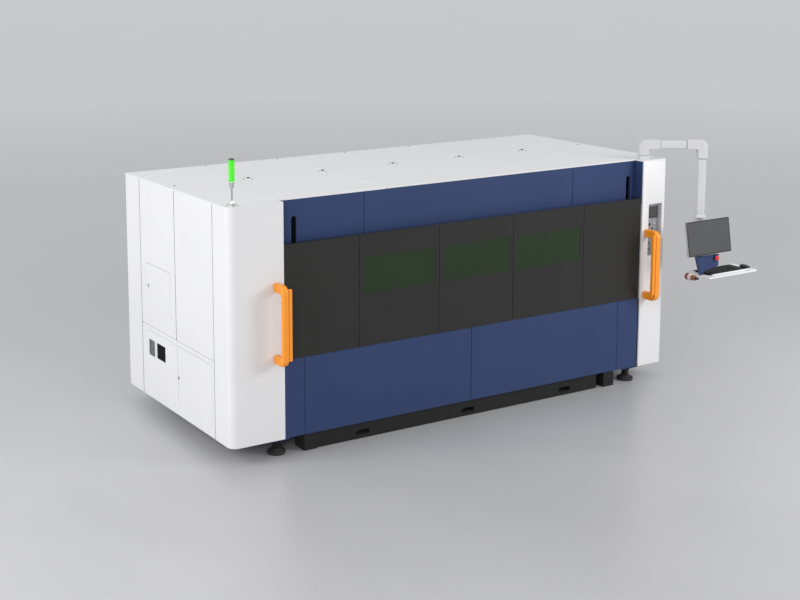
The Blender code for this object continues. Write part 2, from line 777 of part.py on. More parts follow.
def gantry():
    """The gantry beam on its two shoes, the carriage on its face and the cutting head."""
    half = GANTRY_HALF
    low = RAIL_TOP + FIT
    leg = half - GANTRY_LEG
    outline = [
        (-half, low), (-leg, low), (-leg, GANTRY_LOW), (leg, GANTRY_LOW), (leg, low), (half, low),
        (half, GANTRY_LOW + GANTRY_H), (-half, GANTRY_LOW + GANTRY_H),
    ]
    x0 = GANTRY_X - GANTRY_W / 2
    x1 = GANTRY_X + GANTRY_W / 2
    beam = extruded("gantry_beam", [outline], "X", x0, x1, LIGHT_GREY, SHEET / 4, 1)
    shoes = []
    for side in (-1, 1):
        y0, y1 = sorted((side * half, side * leg))
        shoes.append(block("gantry_shoe_%d" % (side + 2), (x0, y0, low),
                           (x1 + GANTRY_SHOE_X, y1, low + GANTRY_SHOE_H)))
    join(beam, *shoes)
    x2 = x1 + FIT
    x3 = x2 + CARRIAGE_T
    carriage = block("head_carriage", (x2, CARRIAGE_Y - CARRIAGE_W / 2, CARRIAGE_LOW),
                     (x3, CARRIAGE_Y + CARRIAGE_W / 2, CARRIAGE_TOP), BLUE, SHEET / 4, 1)
    x4 = x3 + FIT
    head = block("cutting_head", (x4, CARRIAGE_Y - HEAD_BODY_W / 2, HEAD_BODY_LOW),
                 (x4 + HEAD_BODY_T, CARRIAGE_Y + HEAD_BODY_W / 2, HEAD_BODY_TOP), STEEL, SHEET / 4, 1)
    tip = [
        (0, HEAD_BODY_LOW + SHEET), (COLLIMATOR_R, HEAD_BODY_LOW + SHEET), (COLLIMATOR_R, COLLIMATOR_LOW),
        (CERAMIC_R, COLLIMATOR_LOW - SHEET / 2), (CERAMIC_R, (COLLIMATOR_LOW + NOZZLE_LOW) / 2),
        (NOZZLE_R, NOZZLE_LOW), (0, NOZZLE_LOW),
    ]
    centre = (x4 + HEAD_BODY_T / 2, CARRIAGE_Y, 0)
    join(head, turned("nozzle", tip, None, Matrix.Translation(centre), ROUGH_STEPS))
    carry("gantry_axis", (GANTRY_X, 0, low), beam)
    carry("carriage_axis", (x2, CARRIAGE_Y, GANTRY_LOW), carriage)
    carry("head_axis", (x4, CARRIAGE_Y, HEAD_BODY_LOW), head)


def corner_outline(edge, radius):
    """Plan of a front corner panel: its front leg ends at the edge, its side leg at the side seam."""
    points = [
        (LEFT, SIDE_SEAM_FRONT - SEAM / 2), (LEFT, FRONT), (edge, FRONT), (edge, SIDE_SEAM_FRONT - SEAM / 2),
    ]
    return rounded(points, [0, radius, 0, 0])


def corner_hollow(edge, radius):
    """Plan of the space inside a front corner panel, which leaves its walls and its folded lip."""
    inside = edge - SHEET
    lip_end = FRONT + CORNER_LIP
    points = [
        (LEFT + SHEET, FRONT + SHEET), (inside, FRONT + SHEET), (inside, lip_end),
        (edge + OVERRUN, lip_end), (edge + OVERRUN, SIDE_SEAM_FRONT + OVERRUN),
        (LEFT + SHEET, SIDE_SEAM_FRONT + OVERRUN),
    ]
    return rounded(points, [radius - SHEET, 0, 0, 0, 0, 0])


def corner_panels():
    """The two white corner panels at the front: folded sheet with a capped top and a round corner."""
    for side, width, radius in (("left", LEFT_CORNER_W, CORNER_R), ("right", RIGHT_CORNER_W, RIGHT_CORNER_R)):
        edge = LEFT + width
        outer = corner_outline(edge, radius)
        inner = corner_hollow(edge, radius)
        if side == "right":
            outer = mirror_x(outer)
            inner = mirror_x(inner)
        part = extruded("corner_panel_" + side, [outer], "Z", GROUND_GAP, HEIGHT, WHITE, EDGE_R, 1)
        hollow = extruded("corner_hollow_" + side, [inner], "Z", GROUND_GAP - OVERRUN, ROOF_UNDER)
        cut(part, hollow)
        if side == "right":
            x0 = CORNER_RIGHT_EDGE + RECESS_X0
            opening = block("recess_cutter", (x0, FRONT - OVERRUN, RECESS_LOW),
                            (x0 + RECESS_W, FRONT + SHEET + OVERRUN, RECESS_TOP))
            cut(part, opening)


def side_panels():
    """The white panels of the left end and the plain ones of the right end and the back."""
    half = SEAM / 2
    block("side_panel_rear", (LEFT, SIDE_SEAM_REAR + half, GROUND_GAP), (INNER_LEFT, REAR, WALL_TOP),
          WHITE, EDGE_R, 1)
    hole = rounded(rectangle(ACCESS_Y0 - LEAF_GAP, ACCESS_Y1 + LEAF_GAP, ACCESS_LOW - LEAF_GAP,
                             ACCESS_TOP + LEAF_GAP), CABINET_R / 3, 2)
    extruded("side_panel_upper_rear",
             [rectangle(SIDE_SEAM_MIDDLE + half, SIDE_SEAM_REAR - half, WAIST + half, WALL_TOP), hole],
             "X", LEFT, INNER_LEFT, WHITE, EDGE_R, 1)
    block("side_panel_upper_front", (LEFT, SIDE_SEAM_FRONT + half, WAIST + half),
          (INNER_LEFT, SIDE_SEAM_MIDDLE - half, WALL_TOP), WHITE, EDGE_R, 1)
    hole = rounded(rectangle(CABINET_Y0 - LEAF_GAP, CABINET_Y1 + LEAF_GAP, CABINET_LOW - LEAF_GAP,
                             CABINET_TOP + LEAF_GAP), CABINET_R, 3)
    extruded("side_panel_lower",
             [rectangle(SIDE_SEAM_FRONT + half, SIDE_SEAM_REAR - half, GROUND_GAP, WAIST - half), hole],
             "X", LEFT, INNER_LEFT, WHITE, EDGE_R, 1)
    right = block("end_panel_right", (INNER_RIGHT, SIDE_SEAM_FRONT + half, GROUND_GAP),
                  (RIGHT, REAR, WALL_TOP), WHITE, EDGE_R, 1)
    grooves = []
    for number, y in enumerate((SIDE_SEAM_MIDDLE, SIDE_SEAM_REAR)):
        grooves.append(block("end_groove_%d" % number, (RIGHT - GROOVE_DEPTH, y - half, GROUND_GAP - OVERRUN),
                             (RIGHT + OVERRUN, y + half, WALL_TOP + OVERRUN)))
    grooves.append(block("end_groove_waist", (RIGHT - GROOVE_DEPTH, FRONT, WAIST - half),
                         (RIGHT + OVERRUN, REAR + OVERRUN, WAIST + half)))
    cut(right, *grooves)
    back = block("rear_panel", (INNER_LEFT + FIT, INNER_REAR, GROUND_GAP),
                 (INNER_RIGHT - FIT, REAR, WALL_TOP), WHITE, EDGE_R, 1)
    grooves = []
    for number in range(-2, 3):
        x = number * ROOF_PITCH
        grooves.append(block("rear_groove_%d" % (number + 2),
                             (x - half, REAR - GROOVE_DEPTH, GROUND_GAP - OVERRUN),
                             (x + half, REAR + OVERRUN, WALL_TOP + OVERRUN)))
    cut(back, *grooves)


def latch(name, y, z):
    """A quarter-turn lock: a round head with a key slot and a barrel that goes through the leaf."""
    place = Matrix.Translation((LEFT, y, z)) @ Matrix.Rotation(math.radians(-90), 4, "Y")
    profile = [
        (0, LATCH_HEAD_T + FIT), (LATCH_HEAD_R - LATCH_HEAD_T / 2, LATCH_HEAD_T + FIT),
        (LATCH_HEAD_R, LATCH_HEAD_T / 2 + FIT), (LATCH_HEAD_R, FIT), (LATCH_R, FIT),
        (LATCH_R, -LATCH_DEPTH), (0, -LATCH_DEPTH),
    ]
    part = turned(name, profile, STEEL, place, FINE_STEPS)
    slot = block(name + "_key", (LEFT - OVERRUN, y - KEY_W / 2, z - LATCH_R / 2),
                 (LEFT - LATCH_HEAD_T / 2, y + KEY_W / 2, z + LATCH_R / 2))
    return cut(part, slot)


def ring(u, v, radius, steps=FINE_STEPS):
    """A circle's outline."""
    return [(u + radius * math.cos(math.tau * step / steps), v + radius * math.sin(math.tau * step / steps))
            for step in range(steps)]


def cabinet_doors():
    """The inset doors of the left end, with their vent, window pane and locks."""
    half = SEAM / 2
    access_latch_y = ACCESS_Y1 - ACCESS_LATCH_Y
    access = extruded("access_door",
                      [rounded(rectangle(ACCESS_Y0, ACCESS_Y1, ACCESS_LOW, ACCESS_TOP), CABINET_R / 3, 2),
                       ring(access_latch_y, ACCESS_LATCH_Z, LATCH_R + FIT)],
                      "X", LEFT, INNER_LEFT, WHITE)
    rear_outline = rounded(rectangle(CABINET_SPLIT + half, CABINET_Y1, CABINET_LOW, CABINET_TOP),
                           [0, CABINET_R - LEAF_GAP, CABINET_R - LEAF_GAP, 0], 3)
    front_outline = rounded(rectangle(CABINET_Y0, CABINET_SPLIT - half, CABINET_LOW, CABINET_TOP),
                            [CABINET_R - LEAF_GAP, 0, 0, CABINET_R - LEAF_GAP], 3)
    holes = [rectangle(VENT_Y0, VENT_Y1, VENT_LOW, VENT_TOP), rectangle(PANE_Y0, PANE_Y1, PANE_LOW, VENT_TOP)]
    rear = extruded("cabinet_door_rear", [rear_outline] + holes, "X", LEFT, INNER_LEFT, WHITE)
    cabinet_latch_y = CABINET_SPLIT - LATCH_Y - half - FIT
    front = extruded("cabinet_door_front",
                     [front_outline, ring(cabinet_latch_y, CABINET_LATCH_Z, LATCH_R + FIT)],
                     "X", LEFT, INNER_LEFT, WHITE)
    vent = vent_grille()
    pane = block("cabinet_window", (LEFT + PANE_BACK, PANE_Y0 + FIT, PANE_LOW + FIT),
                 (LEFT + PANE_BACK + PANE_T, PANE_Y1 - FIT, VENT_TOP - FIT), BLACK_PLASTIC)
    access_key = latch("access_latch", access_latch_y, ACCESS_LATCH_Z)
    cabinet_key = latch("cabinet_latch", cabinet_latch_y, CABINET_LATCH_Z)
    carry("access_hinge_axis", (LEFT, ACCESS_Y0, ACCESS_LOW), access)
    carry("cabinet_rear_hinge_axis", (LEFT, CABINET_Y1, CABINET_LOW), rear, vent, pane)
    carry("cabinet_front_hinge_axis", (LEFT, CABINET_Y0, CABINET_LOW), front)
    carry("access_latch_axis", (LEFT, access_latch_y, ACCESS_LATCH_Z), access_key)
    carry("cabinet_latch_axis", (LEFT, cabinet_latch_y, CABINET_LATCH_Z), cabinet_key)


def vent_grille():
    """A louvred vent: a frame with slanting blades, set in its opening."""
    y0 = VENT_Y0 + FIT
    y1 = VENT_Y1 - FIT
    z0 = VENT_LOW + FIT
    z1 = VENT_TOP - FIT
    inner = rectangle(y0 + VENT_FRAME, y1 - VENT_FRAME, z0 + VENT_FRAME, z1 - VENT_FRAME)
    frame = extruded("vent_grille", [rectangle(y0, y1, z0, z1), inner], "X",
                     LEFT + PANE_BACK, INNER_LEFT - PANE_BACK, ZINC)
    pitch = (z1 - z0 - 2 * VENT_FRAME) / VENT_SLATS
    thick = pitch * VENT_SLAT_SHARE / 2
    x0 = LEFT + PANE_BACK + EDGE_R
    x1 = INNER_LEFT - PANE_BACK - EDGE_R
    blades = []
    for number in range(VENT_SLATS):
        foot = z0 + VENT_FRAME + pitch * number
        head = foot + pitch
        outline = [(x0, foot + thick), (x1, head - 2 * thick), (x1, head - thick), (x0, foot + 2 * thick)]
        blades.append(extruded("vent_blade_%d" % number, [outline], "Y",
                               y0 + VENT_FRAME / 2, y1 - VENT_FRAME / 2))
    return join(frame, *blades)


def laser_source():
    """The fibre laser source: a rack unit with a front flange and two bow grips."""
    x1 = CABINET_RIGHT - CABINET_BACK - FIT
    x0 = x1 - SOURCE_D
    low = POCKET_LOW + FIT
    y0 = POCKET_Y0 + SOURCE_IN
    y1 = y0 + SOURCE_W
    part = block("laser_source", (x0, y0, low + SOURCE_FLANGE), (x1, y1, low + SOURCE_H), LIGHT_GREY)
    flange = block("source_flange", (x0 - SOURCE_FLANGE_T, y0 - SOURCE_FLANGE, low),
                   (x0 + SOURCE_FLANGE_T, y1 + SOURCE_FLANGE, low + SOURCE_H + SOURCE_FLANGE))
    runner = block("source_runner", (x0 + SOURCE_FLANGE_T / 2, y0 + SOURCE_FLANGE, low),
                   (x1 - SOURCE_FLANGE, y1 - SOURCE_FLANGE, low + SOURCE_FLANGE + SOURCE_FLANGE_T))
    grips = []
    face = x0 - SOURCE_FLANGE_T
    root = face + SOURCE_FLANGE_T / 2
    middle = low + SOURCE_H / 2
    for number, y in enumerate((y0 + GRIP_IN, y1 - GRIP_IN)):
        top = middle + GRIP_H / 2
        bottom = middle - GRIP_H / 2
        out = face - GRIP_OUT
        wide = 2 * GRIP_R
        outline = [
            (root, bottom), (out, bottom), (out, top), (root, top),
            (root, top - wide), (out + wide, top - wide), (out + wide, bottom + wide), (root, bottom + wide),
        ]
        grips.append(extruded("source_grip_%d" % number, [outline], "Y", y - GRIP_R, y + GRIP_R))
    join(part, flange, runner, *grips)


def roof():
    """Three roof sheets, each with the seams of its four panels and of the strip along the front."""
    half = SEAM / 2
    cuts = [-ROOF_PITCH, ROOF_PITCH]
    spans = (("left", LEFT, cuts[0] - half, -2), ("middle", cuts[0] + half, cuts[1] - half, 0),
             ("right", cuts[1] + half, RIGHT, 2))
    back_edge = SIDE_SEAM_FRONT + half
    for name, x0, x1, seam in spans:
        if name == "left":
            step = CORNER_LEFT_EDGE + half
            outline = [(x0, back_edge), (step, back_edge), (step, HEADER_FACE), (x1, HEADER_FACE), (x1, REAR),
                       (x0, REAR)]
        elif name == "right":
            step = CORNER_RIGHT_EDGE - half
            outline = [(x0, HEADER_FACE), (step, HEADER_FACE), (step, back_edge), (x1, back_edge), (x1, REAR),
                       (x0, REAR)]
        else:
            outline = rectangle(x0, x1, HEADER_FACE, REAR)
        part = extruded("roof_" + name, [outline], "Z", ROOF_UNDER, HEIGHT, WHITE, EDGE_R, 1)
        floor = HEIGHT - GROOVE_DEPTH
        x = seam * ROOF_PITCH
        grooves = [
            block("roof_groove_x_" + name, (x - half, SIDE_SEAM_FRONT, floor),
                  (x + half, REAR + OVERRUN, HEIGHT + OVERRUN)),
            block("roof_groove_y_" + name, (x0 - OVERRUN, ROOF_SEAM_MIDDLE - half, floor),
                  (x1 + OVERRUN, ROOF_SEAM_MIDDLE + half, HEIGHT + OVERRUN)),
            block("roof_groove_front_" + name, (x0 - OVERRUN, SIDE_SEAM_FRONT - half, floor),
                  (x1 + OVERRUN, SIDE_SEAM_FRONT + half, HEIGHT + OVERRUN)),
        ]
        cut(part, *grooves)


def header():
    """The blue header above the door, in three sheets; the end ones run down as slotted stiles."""
    half = SEAM / 2
    x_left = CORNER_LEFT_EDGE + FIT
    x_right = CORNER_RIGHT_EDGE - FIT
    seam_left = LEFT + HEADER_SEAM_LEFT
    seam_right = RIGHT - HEADER_SEAM_RIGHT
    low = BED_TOP + FIT
    slot_z = (SLOT_LOW + SLOT_TOP) / 2
    for side, wall, seam, slot in (("left", x_left, seam_left - half, SLOT_LEFT_X),
                                   ("right", x_right, seam_right + half, SLOT_RIGHT_X)):
        way = 1 if side == "left" else -1
        stile = wall + way * STILE_W
        outline = [(wall, low), (stile, low), (stile, HEADER_LOW), (seam, HEADER_LOW), (seam, WALL_TOP),
                   (wall, WALL_TOP)]
        part = extruded("header_" + side,
                        [outline, obround(slot, slot_z, SLOT_W, SLOT_TOP - SLOT_LOW)],
                        "Y", HEADER_FACE, HEADER_INSIDE, BLUE, EDGE_R / 2, 1)
        x0, x1 = sorted((wall, wall + way * HEADER_RETURN))
        cheek = block("header_return_" + side, (x0, DOOR_FACE, HEADER_LOW),
                      (x1, HEADER_FACE + SHEET / 2, WALL_TOP))
        join(part, cheek)
    block("header_centre", (seam_left + half, HEADER_FACE, HEADER_LOW),
          (seam_right - half, HEADER_INSIDE, WALL_TOP), BLUE, EDGE_R / 2, 1)


def skirts():
    """The blue skirt under the door, in two sheets, each with the seam of its end strip."""
    half = SEAM / 2
    y1 = DOOR_FACE + SHEET
    ends = (("left", CORNER_LEFT_EDGE + SEAM, SKIRT_MIDDLE - half, CORNER_LEFT_EDGE + SKIRT_STRIP_LEFT),
            ("right", SKIRT_MIDDLE + half, CORNER_RIGHT_EDGE - SEAM, CORNER_RIGHT_EDGE - SKIRT_STRIP_RIGHT))
    for name, x0, x1, seam in ends:
        part = block("skirt_" + name, (x0, DOOR_FACE, GROUND_GAP), (x1, y1, WAIST), BLUE, EDGE_R / 2, 1)
        groove = block("skirt_groove_" + name, (seam - half, DOOR_FACE - OVERRUN, GROUND_GAP - OVERRUN),
                       (seam + half, DOOR_FACE + GROOVE_DEPTH, WAIST + OVERRUN))
        cut(part, groove)


def hanger(side, x):
    """The seat behind the door, and the arm that runs in the header's slot on a wider plate."""
    low = HANGER_Z - HANGER_H / 2
    top = HANGER_Z + HANGER_H / 2
    plate = HEADER_INSIDE + HANGER_RUN
    arm = HANGER_W / 2
    wide = HANGER_PLATE_W / 2
    return (
        block("hanger_seat_" + side, (x - wide - arm, DOOR_FACE + DOOR_SKIN / 2, low - HANGER_W),
              (x + wide + arm, DOOR_INSIDE - FIT, top + HANGER_W)),
        block("hanger_arm_" + side, (x - arm, DOOR_INSIDE - DOOR_SKIN, low),
              (x + arm, plate + HANGER_PLATE_T / 2, top)),
        block("hanger_plate_" + side, (x - wide, plate, low - HANGER_W / 2),
              (x + wide, plate + HANGER_PLATE_T, top + HANGER_W / 2)),
    )


def front_door():
    """The lifting front door in five glazed sections, ribbed behind, with three laser windows."""
    half = SEAM / 2
    low = WAIST + FIT
    door = block("front_door", (DOOR_LEFT, DOOR_FACE, low), (DOOR_RIGHT, DOOR_INSIDE, DOOR_TOP), GLAZING,
                 EDGE_R / 2, 1)
    opening = CORNER_RIGHT_EDGE - CORNER_LEFT_EDGE
    seams = [CORNER_LEFT_EDGE + share * opening for share in DOOR_SEAM_SHARES]
    bounds = [DOOR_LEFT] + seams + [DOOR_RIGHT]
    shapes = []
    riders = [door]
    for number, (x0, x1) in enumerate(zip(bounds, bounds[1:])):
        lo = x0 + DOOR_RIB / 2
        hi = x1 - DOOR_RIB / 2
        if number in (1, 2, 3):
            # Two plain pockets above and below, and one behind each window
            lower = ((lo, DOOR_FACE + DOOR_SKIN, low + DOOR_RIB),
                     (hi, DOOR_INSIDE + OVERRUN, WINDOW_LOW - DOOR_RIB))
            upper = ((lo, DOOR_FACE + DOOR_SKIN, WINDOW_TOP + DOOR_RIB),
                     (hi, DOOR_INSIDE + OVERRUN, DOOR_TOP - DOOR_RIB))
            shapes.append(block("door_pocket_low_%d" % number, *lower))
            shapes.append(block("door_pocket_top_%d" % number, *upper))
            window_x0 = x0 + WINDOW_MARGIN
            window_x1 = x1 - WINDOW_MARGIN
            shapes.append(block("window_cutter_%d" % number, (window_x0, DOOR_FACE - OVERRUN, WINDOW_LOW),
                                (window_x1, DOOR_INSIDE + OVERRUN, WINDOW_TOP)))
            pane = block("door_window_%d" % number,
                         (window_x0 + FIT, DOOR_FACE + WINDOW_FRONT, WINDOW_LOW + FIT),
                         (window_x1 - FIT, DOOR_FACE + WINDOW_FRONT + WINDOW_T, WINDOW_TOP - FIT),
                         GREEN_GLASS)
            riders.append(pane)
        else:
            shapes.append(block("door_pocket_%d" % number, (lo, DOOR_FACE + DOOR_SKIN, low + DOOR_RIB),
                                (hi, DOOR_INSIDE + OVERRUN, DOOR_TOP - DOOR_RIB)))
    for number, x in enumerate(seams):
        shapes.append(block("door_seam_%d" % number, (x - half, DOOR_FACE - OVERRUN, low - OVERRUN),
                            (x + half, DOOR_FACE + GROOVE_DEPTH, DOOR_TOP + OVERRUN)))
    cut(door, *shapes)
    join(door, *hanger("left", SLOT_LEFT_X), *hanger("right", SLOT_RIGHT_X))
    carry("door_lift_axis", ((DOOR_LEFT + DOOR_RIGHT) / 2, DOOR_FACE, low), *riders)


def handles():
    """The orange grab handles: a bow with round corners and a straight strip along its inner side."""
    out = FRONT - HANDLE_OUT
    seat = FRONT - FIT
    inner = out + HANDLE_GRIP_T
    bow = [
        (seat, HANDLE_LOW), (out, HANDLE_LOW), (out, HANDLE_TOP), (seat, HANDLE_TOP),
        (seat, HANDLE_TOP - HANDLE_ARM_H), (inner, HANDLE_TOP - HANDLE_ARM_H),
        (inner, HANDLE_LOW + HANDLE_ARM_H), (seat, HANDLE_LOW + HANDLE_ARM_H),
    ]
    outline = rounded(bow, [0, HANDLE_R, HANDLE_R, 0, 0, HANDLE_INNER_R, HANDLE_INNER_R, 0])
    left = LEFT + HANDLE_LEFT_IN
    right = RIGHT - HANDLE_RIGHT_IN
    for side, x0, way in (("left", left, 1), ("right", right, -1)):
        seam = x0 + way * HANDLE_W
        end = seam + way * STRIP_W
        lo, hi = sorted((x0, seam))
        part = extruded("handle_" + side, [outline], "X", lo, hi, ORANGE)
        lo, hi = sorted((seam - way * STRIP_LAP, end))
        strip = block("handle_strip_" + side, (lo, out + STRIP_SET, STRIP_LOW),
                      (hi, inner - STRIP_SET, STRIP_TOP))
        join(part, strip)
        bevel(part, HANDLE_EDGE)


def signal_tower():
    """The signal lamp on the left front corner: a flanged foot, a thin stem, a cup and a lit lens."""
    place = Matrix.Translation((LEFT + TOWER_X, FRONT + TOWER_Y, 0))
    low = HEIGHT + FIT
    cone = low + TOWER_BASE_H
    cup = HEIGHT + TOWER_CUP_UP
    top = cup + TOWER_CUP_H
    post = [
        (0, top), (TOWER_CUP_R, top), (TOWER_CUP_R, cup + TOWER_STEM_R), (TOWER_STEM_R, cup),
        (TOWER_STEM_R, cone + TOWER_CONE_H), (TOWER_CONE_R / 2, cone + TOWER_CONE_H),
        (TOWER_CONE_R, cone), (TOWER_BASE_R - FIT, cone), (TOWER_BASE_R, cone - TOWER_BASE_H / 3),
        (TOWER_BASE_R, low), (0, low),
    ]
    turned("tower_post", post, CHROME, place)
    base = top + FIT
    crown = base + TOWER_LENS_H
    lens = [
        (0, crown), (TOWER_LENS_R - TOWER_DOME, crown),
        (TOWER_LENS_R - TOWER_DOME / 3, crown - TOWER_DOME / 3), (TOWER_LENS_R, crown - TOWER_DOME),
        (TOWER_LENS_R, base + FIT), (TOWER_CUP_R, base), (0, base),
    ]
    turned("tower_lamp", lens, LAMP_GREEN, place)


def operator_panel():
    """The recessed operator panel in the right corner panel, with its screen, lamps and buttons."""
    x0 = CORNER_RIGHT_EDGE + RECESS_X0 + FIT
    x1 = x0 + RECESS_W - 2 * FIT
    z0 = RECESS_LOW + FIT
    z1 = RECESS_TOP - FIT
    y0 = FRONT + EDGE_R
    face = FRONT + RECESS_DEPTH
    back = face + RECESS_PLATE
    part = block("operator_panel", (x0, y0, z0), (x1, back, z1), PANEL_GREY)
    hollow = block("panel_hollow", (x0 + RECESS_WALL, y0 - OVERRUN, z0 + RECESS_WALL),
                   (x1 - RECESS_WALL, face, z1 - RECESS_WALL))
    holes = []
    pads = []
    for number, (across, up) in enumerate(BUTTON_SHARES):
        x = CORNER_RIGHT_EDGE + RECESS_X0 + across * RECESS_W
        z = RECESS_LOW + up * (RECESS_TOP - RECESS_LOW)
        holes.append(extruded("button_hole_%d" % number, [ring(x, z, BUTTON_R + FIT)], "Y",
                              face - OVERRUN, back + OVERRUN))
        profile = [
            (0, BUTTON_OUT), (BUTTON_R - EDGE_R / 3, BUTTON_OUT), (BUTTON_R, BUTTON_OUT - EDGE_R / 3),
            (BUTTON_R, -RECESS_PLATE), (0, -RECESS_PLATE),
        ]
        place = Matrix.Translation((x, face, z)) @ Matrix.Rotation(math.radians(90), 4, "X")
        button = turned("panel_button_%d" % (number + 1), profile, BLACK_PLASTIC, place)
        carry("panel_button_%d_axis" % (number + 1), (x, face, z), button)
    for number, (across, up) in enumerate(LAMP_SHARES):
        x = CORNER_RIGHT_EDGE + RECESS_X0 + across * RECESS_W
        z = RECESS_LOW + up * (RECESS_TOP - RECESS_LOW)
        pads.append(extruded("panel_lamp_%d" % number, [ring(x, z, BUTTON_R, ROUGH_STEPS)], "Y",
                             face - BUTTON_OUT, face + RECESS_PLATE / 2))
    screen_x = CORNER_RIGHT_EDGE + RECESS_X0 + SCREEN_X0
    screen_top = RECESS_TOP - SCREEN_DOWN
    pads.append(block("panel_screen", (screen_x, face - SCREEN_OUT, screen_top - SCREEN_H),
                      (screen_x + SCREEN_W, face + RECESS_PLATE / 2, screen_top)))
    cut(part, hollow)
    join(part, *pads)
    cut(part, *holes)


def arm():
    """The operator's arm: a foot on the roof, a turning boom with two elbows, a drop tube and its column."""
    x = RIGHT - ARM_X
    y = FRONT + ARM_Y
    low = HEIGHT + FIT
    turn = Matrix.Translation((x, y, 0)) @ Matrix.Rotation(ARM_TURN, 4, "Z")
    foot_top = low + ARM_BASE_H
    seat = ARM_BASE_W / 2
    base = block("arm_foot", (-seat, -seat, low), (seat, seat, foot_top), LIGHT_GREY, EDGE_R)
    base.matrix_world = turn @ base.matrix_world
    half = ARM_POST_W / 2
    tube = ARM_TUBE_W / 2
    top = ARM_AXIS_Z + half
    bottom = foot_top + FIT
    end = ARM_REACH + half
    under = ARM_AXIS_Z - half
    drop = ARM_AXIS_Z - ARM_DROP
    step = half - tube
    outline = [
        (-half, bottom), (half, bottom), (half, under), (ARM_COLLAR, under), (ARM_COLLAR, under + step),
        (ARM_REACH - ARM_COLLAR, under + step), (ARM_REACH - ARM_COLLAR, under), (ARM_REACH - half, under),
        (ARM_REACH - half, drop), (end, drop), (end, top - ARM_CHAMFER), (end - ARM_CHAMFER, top),
        (ARM_REACH - ARM_COLLAR, top), (ARM_REACH - ARM_COLLAR, top - step), (ARM_COLLAR, top - step),
        (ARM_COLLAR, top), (-half + ARM_CHAMFER, top), (-half, top - ARM_CHAMFER),
    ]
    boom = extruded("arm_boom", [outline], "Y", -half, half, LIGHT_GREY)
    sides = []
    for side in (-1, 1):
        y0, y1 = sorted((side * tube, side * (half + OVERRUN)))
        sides.append(block("boom_side_%d" % (side + 2), (ARM_COLLAR, y0, under - OVERRUN),
                           (ARM_REACH - ARM_COLLAR, y1, top + OVERRUN)))
    cut(boom, *sides)
    for shape in [boom] + sides:
        shape.matrix_world = turn @ shape.matrix_world
    place = Matrix.Translation((DROP_X, DROP_Y, 0)) @ Matrix.Rotation(ARM_TURN, 4, "Z")
    pipe = block("drop_tube", (-tube, -tube, FLANGE_LOW + FLANGE_H / 2), (tube, tube, drop - FIT),
                 LIGHT_GREY, ARM_EDGE)
    wide = FLANGE_W / 2
    flange_top = FLANGE_LOW + FLANGE_H
    shoulder = flange_top - FLANGE_TAPER
    flange = [(-wide, FLANGE_LOW), (wide, FLANGE_LOW), (wide, shoulder), (tube, flange_top),
              (-tube, flange_top), (-wide, shoulder)]
    lip = extruded("drop_flange", [flange], "Y", -wide, wide)
    for shape in (pipe, lip):
        shape.matrix_world = place @ shape.matrix_world
    column = block("drop_column", (DROP_X - COLUMN_W / 2, COLUMN_FRONT, CONSOLE_TOP + FIT),
                   (DROP_X + COLUMN_W / 2, CONSOLE_REAR, FLANGE_LOW + FLANGE_TAPER))
    join(pipe, lip, column)
    carry("boom_axis", (x, y, bottom), boom)
    carry("drop_axis", (DROP_X, DROP_Y, drop), pipe)


def console():
    """The blue console under the drop tube: a plate on one leg over the keyboard, with a block behind it."""
    low = TRAY_TOP + FIT
    face = [
        (DROP_X - CONSOLE_LEG_IN, low), (DROP_X - CONSOLE_LEG_IN + CONSOLE_LEG_W, low),
        (DROP_X - CONSOLE_ARCH_IN, CONSOLE_ARCH_LOW), (CONSOLE_X1, CONSOLE_ARCH_TOP),
        (CONSOLE_X1, CONSOLE_TOP), (DROP_X - CONSOLE_IN_LEFT, CONSOLE_TOP),
        (DROP_X - CONSOLE_KNEE_IN, CONSOLE_KNEE_Z),
    ]
    plate_back = CONSOLE_FRONT + CONSOLE_PLATE_T
    part = extruded("console", [face], "Y", CONSOLE_FRONT, plate_back, BLUE)
    seat = block("console_block",
                 (DROP_X - COLUMN_W / 2, plate_back - CONSOLE_PLATE_T / 2, CONSOLE_TOP - CONSOLE_BLOCK_H),
                 (DROP_X + COLUMN_W / 2, CONSOLE_REAR, CONSOLE_TOP))
    join(part, seat)
    stop_x = CONSOLE_X1 - ESTOP_IN
    stop_z = CONSOLE_TOP - ESTOP_DOWN
    hole = extruded("stop_hole", [ring(stop_x, stop_z, ESTOP_STEM_R + FIT, ROUGH_STEPS)], "Y",
                    CONSOLE_FRONT - OVERRUN, plate_back + OVERRUN)
    cut(part, hole)
    cap = ESTOP_OUT
    profile = [
        (0, cap), (ESTOP_R / 2, cap - EDGE_R / 3), (ESTOP_R - EDGE_R, cap - EDGE_R),
        (ESTOP_R, cap - 2 * EDGE_R), (ESTOP_R, cap - ESTOP_CAP), (ESTOP_STEM_R, cap - ESTOP_CAP),
        (ESTOP_STEM_R, -SHEET), (0, -SHEET),
    ]
    place = Matrix.Translation((stop_x, CONSOLE_FRONT, stop_z)) @ Matrix.Rotation(math.radians(90), 4, "X")
    stop = turned("stop_button", profile, RED, place, ROUGH_STEPS)
    carry("stop_button_axis", (stop_x, CONSOLE_FRONT, stop_z), stop)
    monitor()
    tray()


